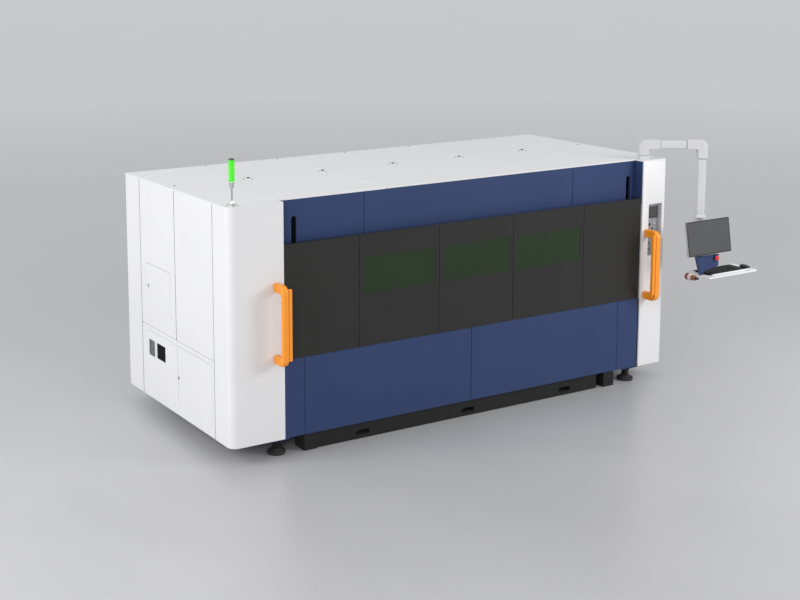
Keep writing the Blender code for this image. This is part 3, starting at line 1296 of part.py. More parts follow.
def monitor():
    """The screen: a thin cased panel, leaning back, on a knuckle at the console's column."""
    pivot_y = COLUMN_FRONT - FIT - KNUCKLE_R
    pivot = (DROP_X + MONITOR_IN, pivot_y, MONITOR_Z)
    lean = (Matrix.Translation(pivot) @ Matrix.Rotation(-MONITOR_TILT, 4, "X")
            @ Matrix.Translation((0, -KNUCKLE_OUT, 0)))
    case = block("monitor", (-MONITOR_W / 2, -MONITOR_T, -MONITOR_H / 2), (MONITOR_W / 2, 0, MONITOR_H / 2),
                 BLACK_PLASTIC, MONITOR_EDGE)
    inset = block("monitor_inset",
                  (-MONITOR_W / 2 + MONITOR_RIM, -MONITOR_T - OVERRUN, -MONITOR_H / 2 + MONITOR_RIM),
                  (MONITOR_W / 2 - MONITOR_RIM, -MONITOR_T + MONITOR_INSET, MONITOR_H / 2 - MONITOR_RIM))
    web = block("monitor_web", (-KNUCKLE_L / 2, -MONITOR_EDGE, -KNUCKLE_WEB / 2),
                (KNUCKLE_L / 2, KNUCKLE_OUT, KNUCKLE_WEB / 2))
    knuckle = extruded("monitor_knuckle", [ring(KNUCKLE_OUT, 0, KNUCKLE_R, FINE_STEPS)], "X",
                       -KNUCKLE_L / 2, KNUCKLE_L / 2)
    cut(case, inset)
    join(case, web, knuckle)
    for shape in (case, inset, web, knuckle):
        shape.matrix_world = lean @ shape.matrix_world
    carry("monitor_axis", pivot, case)


def tray():
    """The keyboard tray with its front lip and the lug that holds the handset."""
    under = TRAY_TOP - TRAY_T
    outline = rounded(rectangle(TRAY_X0, TRAY_X1, TRAY_FRONT, TRAY_FRONT + TRAY_D), TRAY_R, 3)
    part = extruded("keyboard_tray", [outline], "Z", under, TRAY_TOP, WHITE, EDGE_R / 2, 1)
    lip = block("tray_lip", (TRAY_X0 + TRAY_LIP_IN_LEFT, TRAY_FRONT + TRAY_LIP_BACK, TRAY_TOP - SHEET / 4),
                (TRAY_X1 - TRAY_LIP_IN_RIGHT, TRAY_FRONT + TRAY_LIP_BACK + TRAY_LIP_W, TRAY_TOP + TRAY_LIP_H))
    shelf = [
        (TRAY_X0 - LUG_OUT, TRAY_TOP - LUG_DROP), (TRAY_X0 + SHEET, TRAY_TOP - LUG_DROP),
        (TRAY_X0 + SHEET, TRAY_TOP - LUG_T), (TRAY_X0 - LUG_T, TRAY_TOP - LUG_T),
        (TRAY_X0 - LUG_T, TRAY_TOP - LUG_DROP + LUG_T), (TRAY_X0 - LUG_OUT, TRAY_TOP - LUG_DROP + LUG_T),
    ]
    lug_y = TRAY_FRONT + LUG_BACK
    lug = extruded("handset_lug", [shelf], "Y", lug_y, lug_y + LUG_W)
    join(part, lip, lug)
    keys_y0 = TRAY_FRONT + TRAY_LIP_BACK + TRAY_LIP_W + KEYS_GAP
    low = TRAY_TOP + FIT
    side = [(keys_y0, low), (keys_y0 + KEYS_DEPTH, low), (keys_y0 + KEYS_DEPTH, low + KEYS_H + KEYS_SLOPE),
            (keys_y0, low + KEYS_H)]
    keys_x0 = TRAY_X0 + KEYS_IN
    extruded("keyboard", [side], "X", keys_x0, keys_x0 + KEYS_W, BLACK_PLASTIC, EDGE_R, 2)
    mouse_shape(low)
    handset()


def mouse_shape(low):
    """The mouse: a soft hump on a flat base."""
    cage = bmesh.new()
    bmesh.ops.create_cube(cage, size=1, matrix=Matrix.Diagonal((MOUSE_W, MOUSE_L, MOUSE_H, 1)))
    bmesh.ops.translate(cage, verts=cage.verts, vec=(0, 0, MOUSE_H / 2))
    mesh = bpy.data.meshes.new("mouse")
    cage.to_mesh(mesh)
    cage.free()
    place = Matrix.Translation((TRAY_X1 - MOUSE_IN, TRAY_FRONT + MOUSE_BACK, low))
    made = add("mouse", mesh, BLACK_PLASTIC, place)
    edges = bevel(made, MOUSE_H * 2 / 3, 3).modifiers["edges"]
    edges.limit_method = "WEIGHT"
    weights = mesh.attributes.new("bevel_weight_edge", "FLOAT", "EDGE")
    for edge in mesh.edges:
        ends = [mesh.vertices[index].co.z for index in edge.vertices]
        weights.data[edge.index].value = 1.0 if max(ends) > MOUSE_H / 2 else 0.0


def handset():
    """The wireless handset, lying on the tray's lug."""
    neck = HANDSET_BODY + HANDSET_NECK
    tip = neck + HANDSET_TIP
    middle = HANDSET_BODY / 2
    waist = HANDSET_R - HANDSET_LINE
    profile = [
        (0, tip), (HANDSET_TIP_R / 2, tip), (HANDSET_TIP_R, tip - HANDSET_TIP_R), (HANDSET_TIP_R, neck),
        (HANDSET_NECK_R, neck), (HANDSET_NECK_R, HANDSET_BODY), (HANDSET_R, HANDSET_BODY - HANDSET_LINE),
        (HANDSET_R, middle), (waist, middle), (waist, middle - HANDSET_LINE),
        (HANDSET_R, middle - HANDSET_LINE), (HANDSET_R, 2 * HANDSET_LINE),
        (HANDSET_R - 2 * HANDSET_LINE, 0), (0, 0),
    ]
    rest = TRAY_TOP - LUG_DROP + LUG_T + FIT
    centre = rest + HANDSET_R - HANDSET_FLAT
    x = TRAY_X0 - LUG_OUT + HANDSET_IN
    y = TRAY_FRONT + HANDSET_BACK
    place = Matrix.Translation((x, y, centre)) @ Matrix.Rotation(math.radians(90), 4, "X")
    part = turned("handset", profile, PANEL_GREY, place, ROUGH_STEPS)
    sole = block("handset_sole", (x - OVERRUN, y - tip - OVERRUN, rest - OVERRUN),
                 (x + OVERRUN, y + OVERRUN, rest))
    cut(part, sole)


base_frame()
feet()
bed()
end_frames()
slat_table()
gantry()
corner_panels()
side_panels()
cabinet_doors()
laser_source()
roof()
header()
skirts()
front_door()
handles()
signal_tower()
operator_panel()
arm()
console()
bpy.context.view_layer.update()
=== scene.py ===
"""Looks of the enclosed laser cutting machine, in metres, +X right along the front, +Y to the rear."""
import json
import math

import bmesh
import bpy
from mathutils import Matrix, Vector


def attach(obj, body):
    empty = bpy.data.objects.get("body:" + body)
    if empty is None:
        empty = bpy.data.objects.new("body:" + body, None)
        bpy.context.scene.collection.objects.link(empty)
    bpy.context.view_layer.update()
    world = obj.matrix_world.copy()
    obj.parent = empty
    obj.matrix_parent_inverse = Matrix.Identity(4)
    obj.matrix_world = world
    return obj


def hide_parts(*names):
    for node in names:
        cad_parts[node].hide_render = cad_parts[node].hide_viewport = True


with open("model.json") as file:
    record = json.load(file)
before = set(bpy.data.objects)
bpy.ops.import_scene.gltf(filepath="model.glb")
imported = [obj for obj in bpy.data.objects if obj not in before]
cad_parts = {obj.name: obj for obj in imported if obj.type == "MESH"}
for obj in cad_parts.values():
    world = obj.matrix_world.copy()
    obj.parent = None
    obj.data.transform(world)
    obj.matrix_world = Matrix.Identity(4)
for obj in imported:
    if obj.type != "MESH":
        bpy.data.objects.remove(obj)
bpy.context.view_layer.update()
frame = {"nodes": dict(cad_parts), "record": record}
NODES = frame["nodes"]

# Faces of the enclosure
LEFT = -2.415
RIGHT = 2.415
FRONT = -1.04
REAR = 1.04
TOP = 2.205

# The operator's arm turns on its foot and carries the station at its far end
ARM_X = 2.19
ARM_Y = -0.95
ARM_REACH = 0.556
ARM_TURN = math.radians(-33.3)
ARM = Vector((ARM_X, ARM_Y, 0))
DROP = Vector((ARM_X + ARM_REACH * math.cos(ARM_TURN), ARM_Y + ARM_REACH * math.sin(ARM_TURN), 0))
TRAY_TOP = 1.075
ON_TRAY = 1.0753

# Gaps between the roof sheets, and the push buttons in the recess
ROOF_SEAMS_X = [(number, (number - 2) * 0.7941) for number in range(5)]
ROOF_SEAM_Y = 0.145
BUTTONS = ((2.254, 1.559), (2.317, 1.563))
BUTTON_HOLE = 0.0104


# Materials

# Sockets of a colour mix
MIX_FACTOR = 0
MIX_FIRST = 6
MIX_SECOND = 7
MIX_RESULT = 2

DUST_TONE = (0.42, 0.41, 0.40)
GRAIN_DEPTH = 0.0006


def node(tree, kind, place=(0, 0), **values):
    made = tree.nodes.new(kind)
    made.location = place
    for key, value in values.items():
        setattr(made, key, value)
    return made


def noise(tree, place, vector, scale, detail, roughness=0.5):
    """Cloudy noise over the given coordinates."""
    made = node(tree, "ShaderNodeTexNoise", place)
    made.inputs["Scale"].default_value = scale
    made.inputs["Detail"].default_value = detail
    made.inputs["Roughness"].default_value = roughness
    tree.links.new(vector, made.inputs["Vector"])
    return made.outputs["Fac"]


def ranged(tree, place, value, limits):
    """A value brought from one range to another."""
    made = node(tree, "ShaderNodeMapRange", place)
    for key, limit in limits.items():
        made.inputs[key].default_value = limit
    tree.links.new(value, made.inputs["Value"])
    return made.outputs["Result"]


def mixed(tree, place, factor, first, second):
    """One colour that turns into a second, plain one by the factor."""
    made = node(tree, "ShaderNodeMix", place, data_type="RGBA")
    made.inputs[MIX_SECOND].default_value = (*second, 1)
    tree.links.new(factor, made.inputs[MIX_FACTOR])
    tree.links.new(first, made.inputs[MIX_FIRST])
    return made.outputs[MIX_RESULT]


def surface(name, colour, roughness, metallic=0.0, vary=0.04, scale=3.0, rough_vary=0.08, bump=0.0,
            bump_scale=400.0, stretch=(1, 1, 1), specular=0.5, dust=0.0):
    """A painted, moulded or machined surface: slow changes of tone, uneven gloss and fine grain."""
    made = bpy.data.materials.new(name)
    made.use_nodes = True
    tree = made.node_tree
    shader = tree.nodes["Principled BSDF"]
    shader.inputs["Metallic"].default_value = metallic
    shader.inputs["Specular IOR Level"].default_value = specular
    place = node(tree, "ShaderNodeTexCoord", (-1100, 0)).outputs["Object"]
    scaled = node(tree, "ShaderNodeMapping", (-920, 0))
    scaled.inputs["Scale"].default_value = stretch
    tree.links.new(place, scaled.inputs["Vector"])
    cloud = noise(tree, (-720, 160), scaled.outputs["Vector"], scale, 6.0, 0.6)
    tone = node(tree, "ShaderNodeValToRGB", (-480, 240))
    dark = [c * (1 - vary) for c in colour]
    light = [min(1.0, c * (1 + vary)) for c in colour]
    for element, position, shade in zip(tone.color_ramp.elements, (0.3, 0.7), (dark, light)):
        element.position = position
        element.color = (*shade, 1)
    tree.links.new(cloud, tone.inputs["Fac"])
    base = tone.outputs["Color"]
    if dust:
        geometry = node(tree, "ShaderNodeNewGeometry", (-1100, 520))
        split = node(tree, "ShaderNodeSeparateXYZ", (-920, 520))
        tree.links.new(geometry.outputs["Normal"], split.inputs["Vector"])
        upward = ranged(tree, (-720, 520), split.outputs["Z"], {"From Min": 0.6, "To Max": dust})
        speck = noise(tree, (-720, 700), place, 40.0, 8.0)
        amount = node(tree, "ShaderNodeMath", (-480, 600), operation="MULTIPLY")
        tree.links.new(upward, amount.inputs[0])
        tree.links.new(speck, amount.inputs[1])
        base = mixed(tree, (-260, 320), amount.outputs["Value"], base, DUST_TONE)
    tree.links.new(base, shader.inputs["Base Color"])
    gloss = {"To Min": max(0.02, roughness - rough_vary), "To Max": min(1.0, roughness + rough_vary)}
    tree.links.new(ranged(tree, (-480, -20), cloud, gloss), shader.inputs["Roughness"])
    if bump:
        grain = noise(tree, (-720, -260), scaled.outputs["Vector"], bump_scale, 3.0)
        relief = node(tree, "ShaderNodeBump", (-260, -260))
        relief.inputs["Strength"].default_value = bump
        relief.inputs["Distance"].default_value = GRAIN_DEPTH
        tree.links.new(grain, relief.inputs["Height"])
        tree.links.new(relief.outputs["Normal"], shader.inputs["Normal"])
    return made


WHITE = surface("white_powder_coat", (0.80, 0.80, 0.805), 0.38, vary=0.018, scale=1.6, bump=0.10,
                bump_scale=900.0, specular=0.45)
BLUE = surface("blue_powder_coat", (0.030, 0.053, 0.142), 0.40, vary=0.05, scale=1.4, bump=0.12,
               bump_scale=900.0, specular=0.25)
GLAZING = surface("dark_glazed_sheet", (0.026, 0.026, 0.025), 0.34, vary=0.05, scale=1.2, rough_vary=0.05,
                  bump=0.03, bump_scale=300.0, specular=0.22)
GREEN = surface("green_laser_pane", (0.017, 0.034, 0.014), 0.32, vary=0.08, scale=2.0, rough_vary=0.04,
                specular=0.22)
BLACK_STEEL = surface("black_steel", (0.016, 0.016, 0.0155), 0.5, vary=0.18, scale=5.0, rough_vary=0.12,
                      bump=0.25, bump_scale=500.0, specular=0.22, dust=0.10)
ORANGE = surface("orange_moulding", (0.98, 0.33, 0.022), 0.34, vary=0.03, scale=12.0, bump=0.10,
                 bump_scale=1500.0)
CHROME = surface("polished_metal", (0.62, 0.63, 0.64), 0.16, 1.0, vary=0.05, scale=30.0, rough_vary=0.06)
STEEL = surface("machined_steel", (0.46, 0.46, 0.47), 0.36, 1.0, vary=0.12, scale=60.0, bump=0.2,
                bump_scale=500.0, stretch=(1, 1, 12))
GREY = surface("light_grey_coat", (0.62, 0.62, 0.635), 0.42, vary=0.03, scale=4.0, bump=0.12,
               bump_scale=1100.0)
PANEL = surface("grey_panel_sheet", (0.30, 0.31, 0.33), 0.42, vary=0.05, scale=14.0, bump=0.12,
                bump_scale=900.0)
BLACK = surface("black_moulding", (0.014, 0.014, 0.015), 0.46, vary=0.12, scale=25.0, bump=0.2,
                bump_scale=1800.0)
SCREEN = surface("screen_face", (0.075, 0.076, 0.078), 0.38, vary=0.03, scale=3.0, rough_vary=0.03,
                 specular=0.35)
RED = surface("red_moulding", (0.62, 0.02, 0.025), 0.32, vary=0.04, scale=40.0, bump=0.06,
              bump_scale=1500.0)
ZINC = surface("galvanised_sheet", (0.24, 0.245, 0.25), 0.50, 0.6, vary=0.16, scale=45.0, bump=0.12,
               bump_scale=300.0)
CREAM = surface("pale_moulding", (0.66, 0.60, 0.55), 0.45, vary=0.04, scale=30.0, bump=0.1,
                bump_scale=1200.0)
MAROON = surface("maroon_moulding", (0.20, 0.035, 0.05), 0.42, vary=0.08, scale=30.0, bump=0.1,
                 bump_scale=1200.0)
BROWN = surface("brown_ring", (0.26, 0.10, 0.045), 0.45, vary=0.10, scale=40.0, bump=0.1,
                bump_scale=1200.0)
RUBBER = surface("black_rubber", (0.018, 0.018, 0.018), 0.7, vary=0.15, scale=30.0, bump=0.3,
                 bump_scale=700.0)
# Painted shade: a dark colour for the strips laid in and over the gaps between the panels
SEAM_SHADE = surface("painted_seam_shade", (0.16, 0.16, 0.165), 0.8, vary=0.10, scale=8.0, specular=0.1)
KEYS = surface("keyboard_moulding", (0.010, 0.010, 0.0105), 0.55, vary=0.10, scale=25.0, bump=0.2,
               bump_scale=1800.0, specular=0.16)
PANE = surface("dark_window_pane", (0.006, 0.006, 0.007), 0.40, vary=0.05, scale=4.0, rough_vary=0.04,
               specular=0.03)
CROWN = surface("dark_green_crown", (0.045, 0.11, 0.04), 0.38, vary=0.06, scale=30.0, bump=0.05,
                bump_scale=900.0)
LAMP = surface("lit_green_lens", (0.06, 0.62, 0.015), 0.22, vary=0.04, scale=20.0, rough_vary=0.04)
LENS = LAMP.node_tree.nodes["Principled BSDF"]
LENS.inputs["Emission Color"].default_value = (0.10, 1.0, 0.03, 1)
LENS.inputs["Emission Strength"].default_value = 0.26

SLOTS = {
    "white_paint": WHITE, "blue_paint": BLUE, "dark_glazing": GLAZING, "green_laser_glass": GREEN,
    "black_steel": BLACK_STEEL, "orange_plastic": ORANGE, "green_lamp": LAMP, "polished_metal": CHROME,
    "machined_steel": STEEL, "light_grey_paint": GREY, "panel_grey": PANEL, "black_plastic": BLACK,
    "red_button": RED, "galvanised_sheet": ZINC,
}
SLOT_OF = {part["node"]: part["material_slot"] for part in frame["record"]["subparts"]}
for name, piece in NODES.items():
    for slot in piece.material_slots:
        slot.material = PANE if name == "cabinet_window" else SLOTS[SLOT_OF[name]]


# Shapes

PLANES = {
    "X": Matrix(((0, 0, 1, 0), (1, 0, 0, 0), (0, 1, 0, 0), (0, 0, 0, 1))),
    "Y": Matrix(((1, 0, 0, 0), (0, 0, -1, 0), (0, 1, 0, 0), (0, 0, 0, 1))),
    "Z": Matrix.Identity(4),
}
AXIS_X = Matrix.Rotation(math.radians(90), 4, "Y")
AXIS_Y = Matrix.Rotation(math.radians(90), 4, "X")
AXIS_OUT_LEFT = Matrix.Rotation(math.radians(-90), 4, "Y")


def at(x, y, z, turn=None):
    place = Matrix.Translation((x, y, z))
    return place @ turn if turn else place


def add(name, mesh, finish, matrix=None):
    made = bpy.data.objects.new(name, mesh)
    if matrix is not None:
        made.matrix_world = matrix
    mesh.materials.clear()
    mesh.materials.append(finish)
    bpy.context.scene.collection.objects.link(made)
    return made


def mesh_of(name, shape):
    """The mesh of a working shape, which is let go."""
    mesh = bpy.data.meshes.new(name)
    shape.to_mesh(mesh)
    shape.free()
    return mesh


def evaluated(made):
    """The mesh of a curve, or of an object with its modifiers."""
    bpy.context.view_layer.update()
    return bpy.data.meshes.new_from_object(made.evaluated_get(bpy.context.evaluated_depsgraph_get()))


def soften(made, width, segments=3, angle=35.0, clamp=True):
    """Round the sharp edges and keep the flats flat in the shading."""
    edges = made.modifiers.new("edges", "BEVEL")
    edges.width = width
    edges.segments = segments
    edges.limit_method = "ANGLE"
    edges.angle_limit = math.radians(angle)
    edges.use_clamp_overlap = clamp
    edges.harden_normals = True
    made.data.shade_smooth()
    return made


def smooth(made, angle=40.0):
    made.data.shade_smooth()
    made.data.set_sharp_from_angle(angle=math.radians(angle))
    return made


def box(name, lo, hi, finish, edge=0.0, segments=3, turn=None):
    lo = Vector(lo)
    hi = Vector(hi)
    shape = bmesh.new()
    bmesh.ops.create_cube(shape, size=1, matrix=Matrix.Diagonal((*(hi - lo), 1)))
    place = Matrix.Translation((lo + hi) / 2)
    made = add(name, mesh_of(name, shape), finish, turn @ place if turn else place)
    if edge:
        soften(made, edge, segments)
    return made


def extruded(name, outlines, axis, lo, hi, finish, edge=0.0, segments=3, turn=None, clamp=True):
    """A flat outline with holes, (Y, Z) for X, (X, Z) for Y and (X, Y) for Z, as thick as lo to hi."""
    curve = bpy.data.curves.new(name + "_outline", "CURVE")
    curve.dimensions = "2D"
    curve.fill_mode = "BOTH"
    curve.extrude = (hi - lo) / 2
    for outline in outlines:
        spline = curve.splines.new("POLY")
        spline.points.add(len(outline) - 1)
        spline.use_cyclic_u = True
        for point, (across, up) in zip(spline.points, outline):
            point.co = (across, up, 0, 1)
    drawn = bpy.data.objects.new(name + "_outline", curve)
    bpy.context.scene.collection.objects.link(drawn)
    mesh = evaluated(drawn)
    bpy.data.objects.remove(drawn, do_unlink=True)
    mesh.name = name
    shape = bmesh.new()
    shape.from_mesh(mesh)
    bmesh.ops.remove_doubles(shape, verts=shape.verts, dist=0.00003)
    bmesh.ops.dissolve_limit(shape, angle_limit=math.radians(1), verts=shape.verts, edges=shape.edges)
    shape.to_mesh(mesh)
    shape.free()
    shift = Vector((axis == "X", axis == "Y", axis == "Z")) * (lo + hi) / 2
    place = Matrix.Translation(shift) @ PLANES[axis]
    made = add(name, mesh, finish, turn @ place if turn else place)
    if edge:
        soften(made, edge, segments, clamp=clamp)
    return made


def circle(u, v, radius, steps=32):
    return [(u + radius * math.cos(math.tau * k / steps), v + radius * math.sin(math.tau * k / steps))
            for k in range(steps)]


def turned(name, profile, finish, place, steps=48, angle=35.0):
    """(radius, height) pairs turned about the place's Z axis."""
    shape = bmesh.new()
    rings = []
    for radius, height in profile:
        ring = circle(0, 0, radius, steps) if radius else [(0, 0)]
        rings.append([shape.verts.new((x, y, height)) for x, y in ring])
    for first, second in zip(rings, rings[1:]):
        for k in range(steps):
            after = (k + 1) % steps
            if len(first) == 1:
                shape.faces.new((first[0], second[k], second[after]))
            elif len(second) == 1:
                shape.faces.new((first[k], second[0], first[after]))
            else:
                shape.faces.new((first[k], second[k], second[after], first[after]))
    bmesh.ops.recalc_face_normals(shape, faces=shape.faces)
    return smooth(add(name, mesh_of(name, shape), finish, place), angle)


def rectangle(u0, u1, v0, v1):
    return [(u0, v0), (u1, v0), (u1, v1), (u0, v1)]


def rounded(points, radii, steps=8):
    """A polygon with its corners rounded; a radius of zero keeps the corner."""
    if not isinstance(radii, (list, tuple)):
        radii = [radii] * len(points)
    made = []
    for place, (corner, radius) in enumerate(zip(points, radii)):
        here = Vector(corner)
        if not radius:
            made.append(tuple(here))
            continue
        before = (Vector(points[place - 1]) - here).normalized()
        after = (Vector(points[(place + 1) % len(points)]) - here).normalized()
        half = before.angle(after) / 2
        reach = radius / math.tan(half)
        centre = here + (before + after).normalized() * radius / math.sin(half)
        start = here + before * reach - centre
        end = here + after * reach - centre
        swing = start.angle_signed(end)
        for step in range(steps + 1):
            spoke = Matrix.Rotation(-swing * step / steps, 2) @ start
            made.append(tuple(centre + spoke))
    return made


def mirror_x(points):
    return [(-u, v) for u, v in reversed(points)]


def show(made, body, slot_name=None, *nodes):
    """Let a piece, or several, move with a body, and stand in for the named solids."""
    pieces = made if isinstance(made, (list, tuple)) else [made]
    for place, piece in enumerate(pieces):
        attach(piece, body)
        if nodes and place == 0:
            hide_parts(*nodes)
    return pieces


def screw_head(name, place, radius, height, finish=BLACK_STEEL):
    """A button-head screw with a socket, standing on the place's XY plane."""
    head = [(0, height * 0.45), (radius * 0.42, height * 0.45), (radius * 0.46, height),
            (radius * 0.7, height * 0.92), (radius * 0.93, height * 0.55), (radius, 0), (0, 0)]
    return turned(name, head, finish, place, 20)


def square_pipe(name, half, lo, hi, finish, turn):
    """An upright square tube with rounded corners."""
    outline = rounded(rectangle(-half, half, -half, half), 0.010, 6)
    return extruded(name, [outline], "Z", lo, hi, finish, turn=turn)


# Sheets that keep the shape of their solids, with softened edges

SHEETS = (
    "side_panel_rear", "side_panel_upper_rear", "side_panel_upper_front", "side_panel_lower",
    "end_panel_right", "rear_panel", "roof_left", "roof_middle", "roof_right", "access_door",
    "cabinet_door_rear", "cabinet_door_front", "header_left", "header_centre", "header_right",
    "skirt_left", "skirt_right", "base_frame",
)
SHEET_EDGE = 0.0012
SIDE_PANEL_EDGE = 0.0030
for name in SHEETS:
    edges = NODES[name].modifiers.new("edges", "BEVEL")
    edges.width = SIDE_PANEL_EDGE if name.startswith("side_panel") else SHEET_EDGE
    edges.segments = 3
    edges.limit_method = "ANGLE"
    edges.angle_limit = math.radians(50)


def corner_panels():
    """White corner sheets: a finely rounded outer corner, a folded lip and a capped top."""
    sill = 0.155
    thick = 0.020
    bend = 0.030
    fold = 0.004
    lip = FRONT + 0.034
    back = FRONT + 0.290 - 0.0025
    inner = FRONT + thick
    recess_side = 2.115
    for side, width, radius in (("left", 0.520, 0.070), ("right", 0.300, 0.030)):
        edge = LEFT + width
        outside = [(LEFT, back), (LEFT, FRONT), (edge, FRONT), (edge, lip)]
        inside = [(edge - bend, inner), (LEFT + thick, inner), (LEFT + thick, back)]
        wall = [
            *rounded(outside, [0, radius, fold, 0], 20),
            (edge - thick, lip),
            (edge - thick, inner),
            *rounded(inside, [0, radius - thick, 0], 14),
        ]
        cap = rounded([(LEFT, back), (LEFT, FRONT), (edge, FRONT), (edge, back)], [0, radius, fold, 0], 20)
        if side == "right":
            wall = mirror_x(wall)
            cap = mirror_x(cap)
        outer = extruded("corner_sheet_" + side, [wall], "Z", sill, TOP - 0.012, WHITE, 0.0015, 2)
        lid = extruded("corner_cap_" + side, [cap], "Z", TOP - 0.0125, TOP, WHITE, 0.003, 3)
        if side == "right":
            hole = box("recess_cutter", (recess_side + 0.080, FRONT - 0.05, 1.257),
                       (recess_side + 0.252, FRONT + 0.08, 1.770), WHITE)
            cut = outer.modifiers.new("recess", "BOOLEAN")
            cut.operation = "DIFFERENCE"
            cut.solver = "EXACT"
            cut.object = hole
            outer.modifiers.move(len(outer.modifiers) - 1, 0)
            mesh = evaluated(outer)
            outer.modifiers.clear()
            outer.data = mesh
            bpy.data.objects.remove(hole, do_unlink=True)
        smooth(outer, 30)
        show([outer, lid], "machine", "white_paint", "corner_panel_" + side)


def handles():
    """Orange grab handles: a bow with a straight strip beside it, a groove between them made dark by a black
    block inside it as painted shade, and screws.
    """
    out = FRONT - 0.172
    inner = out + 0.044
    seat = FRONT - 0.0003
    low = 0.836
    top = 1.530
    arm = 0.075
    bow_width = 0.0555
    width = 0.090
    groove = 0.0035
    groove_shade_half = 0.012
    bow = rounded([(seat, low), (out, low), (out, top), (seat, top),
                   (seat, top - arm), (inner, top - arm), (inner, low + arm), (seat, low + arm)],
                  [0, 0.068, 0.068, 0, 0, 0.030, 0.030, 0], 10)
    for side, x0, way in (("left", LEFT + 0.412, 1), ("right", RIGHT - 0.216, -1)):
        seam = x0 + way * bow_width
        end = x0 + way * width
        lo, hi = sorted((x0, seam))
        main = extruded("grab_bow_" + side, [bow], "X", lo, hi, ORANGE, 0.0105, 4, clamp=False)
        lo, hi = sorted((seam + way * groove, end))
        strip = box("grab_strip_" + side, (lo, out + 0.005, 0.886), (hi, inner - 0.004, 1.499), ORANGE, 0.006)
        # Painted shade: a black block inside the groove between the bow and the strip darkens it
        lo, hi = sorted((seam - way * groove_shade_half, seam + way * groove_shade_half))
        groove_shade = box("grab_groove_shade_" + side, (lo, out + 0.013, 0.900), (hi, inner - 0.010, 1.485), BLACK)
        screws = []
        outward = AXIS_OUT_LEFT if way == 1 else AXIS_X
        for z in (0.965, 1.385):
            screws.append(screw_head("grab_screw_%s_%d" % (side, z * 1000),
                                     at(x0 - way * 0.0002, inner - 0.012, z, outward), 0.0045, 0.0022))
        for z, turn in ((top - arm, Matrix.Rotation(math.pi, 4, "X")), (low + arm, Matrix.Identity(4))):
            screws.append(screw_head("grab_seat_screw_%s_%d" % (side, z * 1000),
                                     at(x0 + way * 0.028, FRONT - 0.020, z, turn), 0.005, 0.0025))
        if side == "right":
            # Painted shade: a thin dark disc on the front of the right strip stands in for a hole
            disc = [(0, 0.0005), (0.0085, 0.0005), (0.0093, 0), (0, 0)]
            screws.append(turned("grab_strip_hole_shade", disc, KEYS,
                                 at(x0 + way * 0.071, out + 0.0049, 0.900, AXIS_Y), 32))
        show([main, strip], "machine", "orange_plastic", "handle_" + side)
        show([groove_shade] + screws, "machine", "black_steel")


def feet():
    """Levelling feet: ribbed pad, stem with thread turns, hexagon nut."""
    disc = [(0, 0.052), (0.020, 0.052), (0.040, 0.050), (0.0445, 0.046), (0.0485, 0.040), (0.066, 0.032),
            (0.074, 0.029), (0.0785, 0.024), (0.079, 0.018), (0.079, 0.006), (0.077, 0.001), (0.073, 0.0),
            (0, 0.0)]
    thread_top = 0.120
    pitch = 0.007
    crest = 0.0345
    root = 0.031
    stem = [(0, 0.1247), (0.030, 0.1247)]
    for turn in range(9):
        z = thread_top - turn * pitch
        stem += [(crest, z), (root, z - pitch / 2)]
    stem += [(root, 0.050), (0, 0.050)]
    hexagon = [(0, 0.1245), (0.039, 0.1245), (0.0445, 0.121), (0.0445, 0.106), (0.040, 0.1025), (0, 0.1025)]
    for end, x in (("left", LEFT + 0.495), ("right", RIGHT - 0.355)):
        for side, y in (("front", FRONT + 0.120), ("rear", REAR - 0.120)):
            name = "levelling_foot_%s_%s" % (side, end)
            pad = turned(name + "_pad", disc, RUBBER, at(x, y, 0), 64, 50)
            rod = turned(name + "_stem", stem, BLACK_STEEL, at(x, y, 0), 40, 80)
            nut = turned(name + "_nut", hexagon, BLACK_STEEL, at(x, y, 0), 6, 10)
            show([pad, rod, nut], "machine", "black_steel", name)


def signal_tower():
    """Signal lamp: flanged chrome foot, thin stem, cup and a lit ribbed lens with a dark domed cap."""
    x = LEFT + 0.075
    y = FRONT + 0.068
    low = TOP + 0.0003
    base = 2.4053
    crown = 2.6003
    post = [(0, 2.4047), (0.0200, 2.4047), (0.0208, 2.402), (0.0208, 2.396), (0.0198, 2.394),
            (0.0198, 2.362), (0.0190, 2.357), (0.0120, 2.349), (0.0068, 2.345), (0.0068, low + 0.046),
            (0.0108, low + 0.044), (0.0122, low + 0.038), (0.0150, low + 0.024), (0.0205, low + 0.013),
            (0.0240, low + 0.0101), (0.0400, low + 0.0100), (0.0425, low + 0.0085),
            (0.0430, low + 0.0060), (0.0430, low), (0, low)]
    pole = turned("tower_pole", post, CHROME, at(x, y, 0), 56, 50)
    dome = [(0, crown), (0.010, crown - 0.0006), (0.018, crown - 0.003), (0.0235, crown - 0.008),
            (0.0256, crown - 0.014), (0.0256, crown - 0.0168), (0, crown - 0.0168)]
    lens = [(0, crown - 0.0169), (0.0256, crown - 0.0169)]
    rib = 0.0062
    for k in range(int((crown - 0.020 - base - 0.006) / rib)):
        z = crown - 0.018 - k * rib
        lens += [(0.0259, z), (0.0259, z - rib * 0.45), (0.0250, z - rib * 0.6), (0.0250, z - rib * 0.85)]
    lens += [(0.0256, base + 0.004), (0.0250, base), (0, base)]
    lamp = turned("tower_lens", lens, LAMP, at(x, y, 0), 56, 70)
    cap = turned("tower_cap", dome, CROWN, at(x, y, 0), 56, 40)
    bolts = []
    for k in range(3):
        angle = k * math.tau / 3 + 0.4
        place = at(x + 0.0325 * math.cos(angle), y + 0.0325 * math.sin(angle), low + 0.0096)
        bolts.append(screw_head("tower_bolt_%d" % k, place, 0.004, 0.0022))
    show(pole, "machine", "polished_metal", "tower_post")
    show(bolts, "machine", "black_steel")
    show(cap, "machine", "black_plastic")
    show(lamp, "machine", "green_lamp", "tower_lamp")


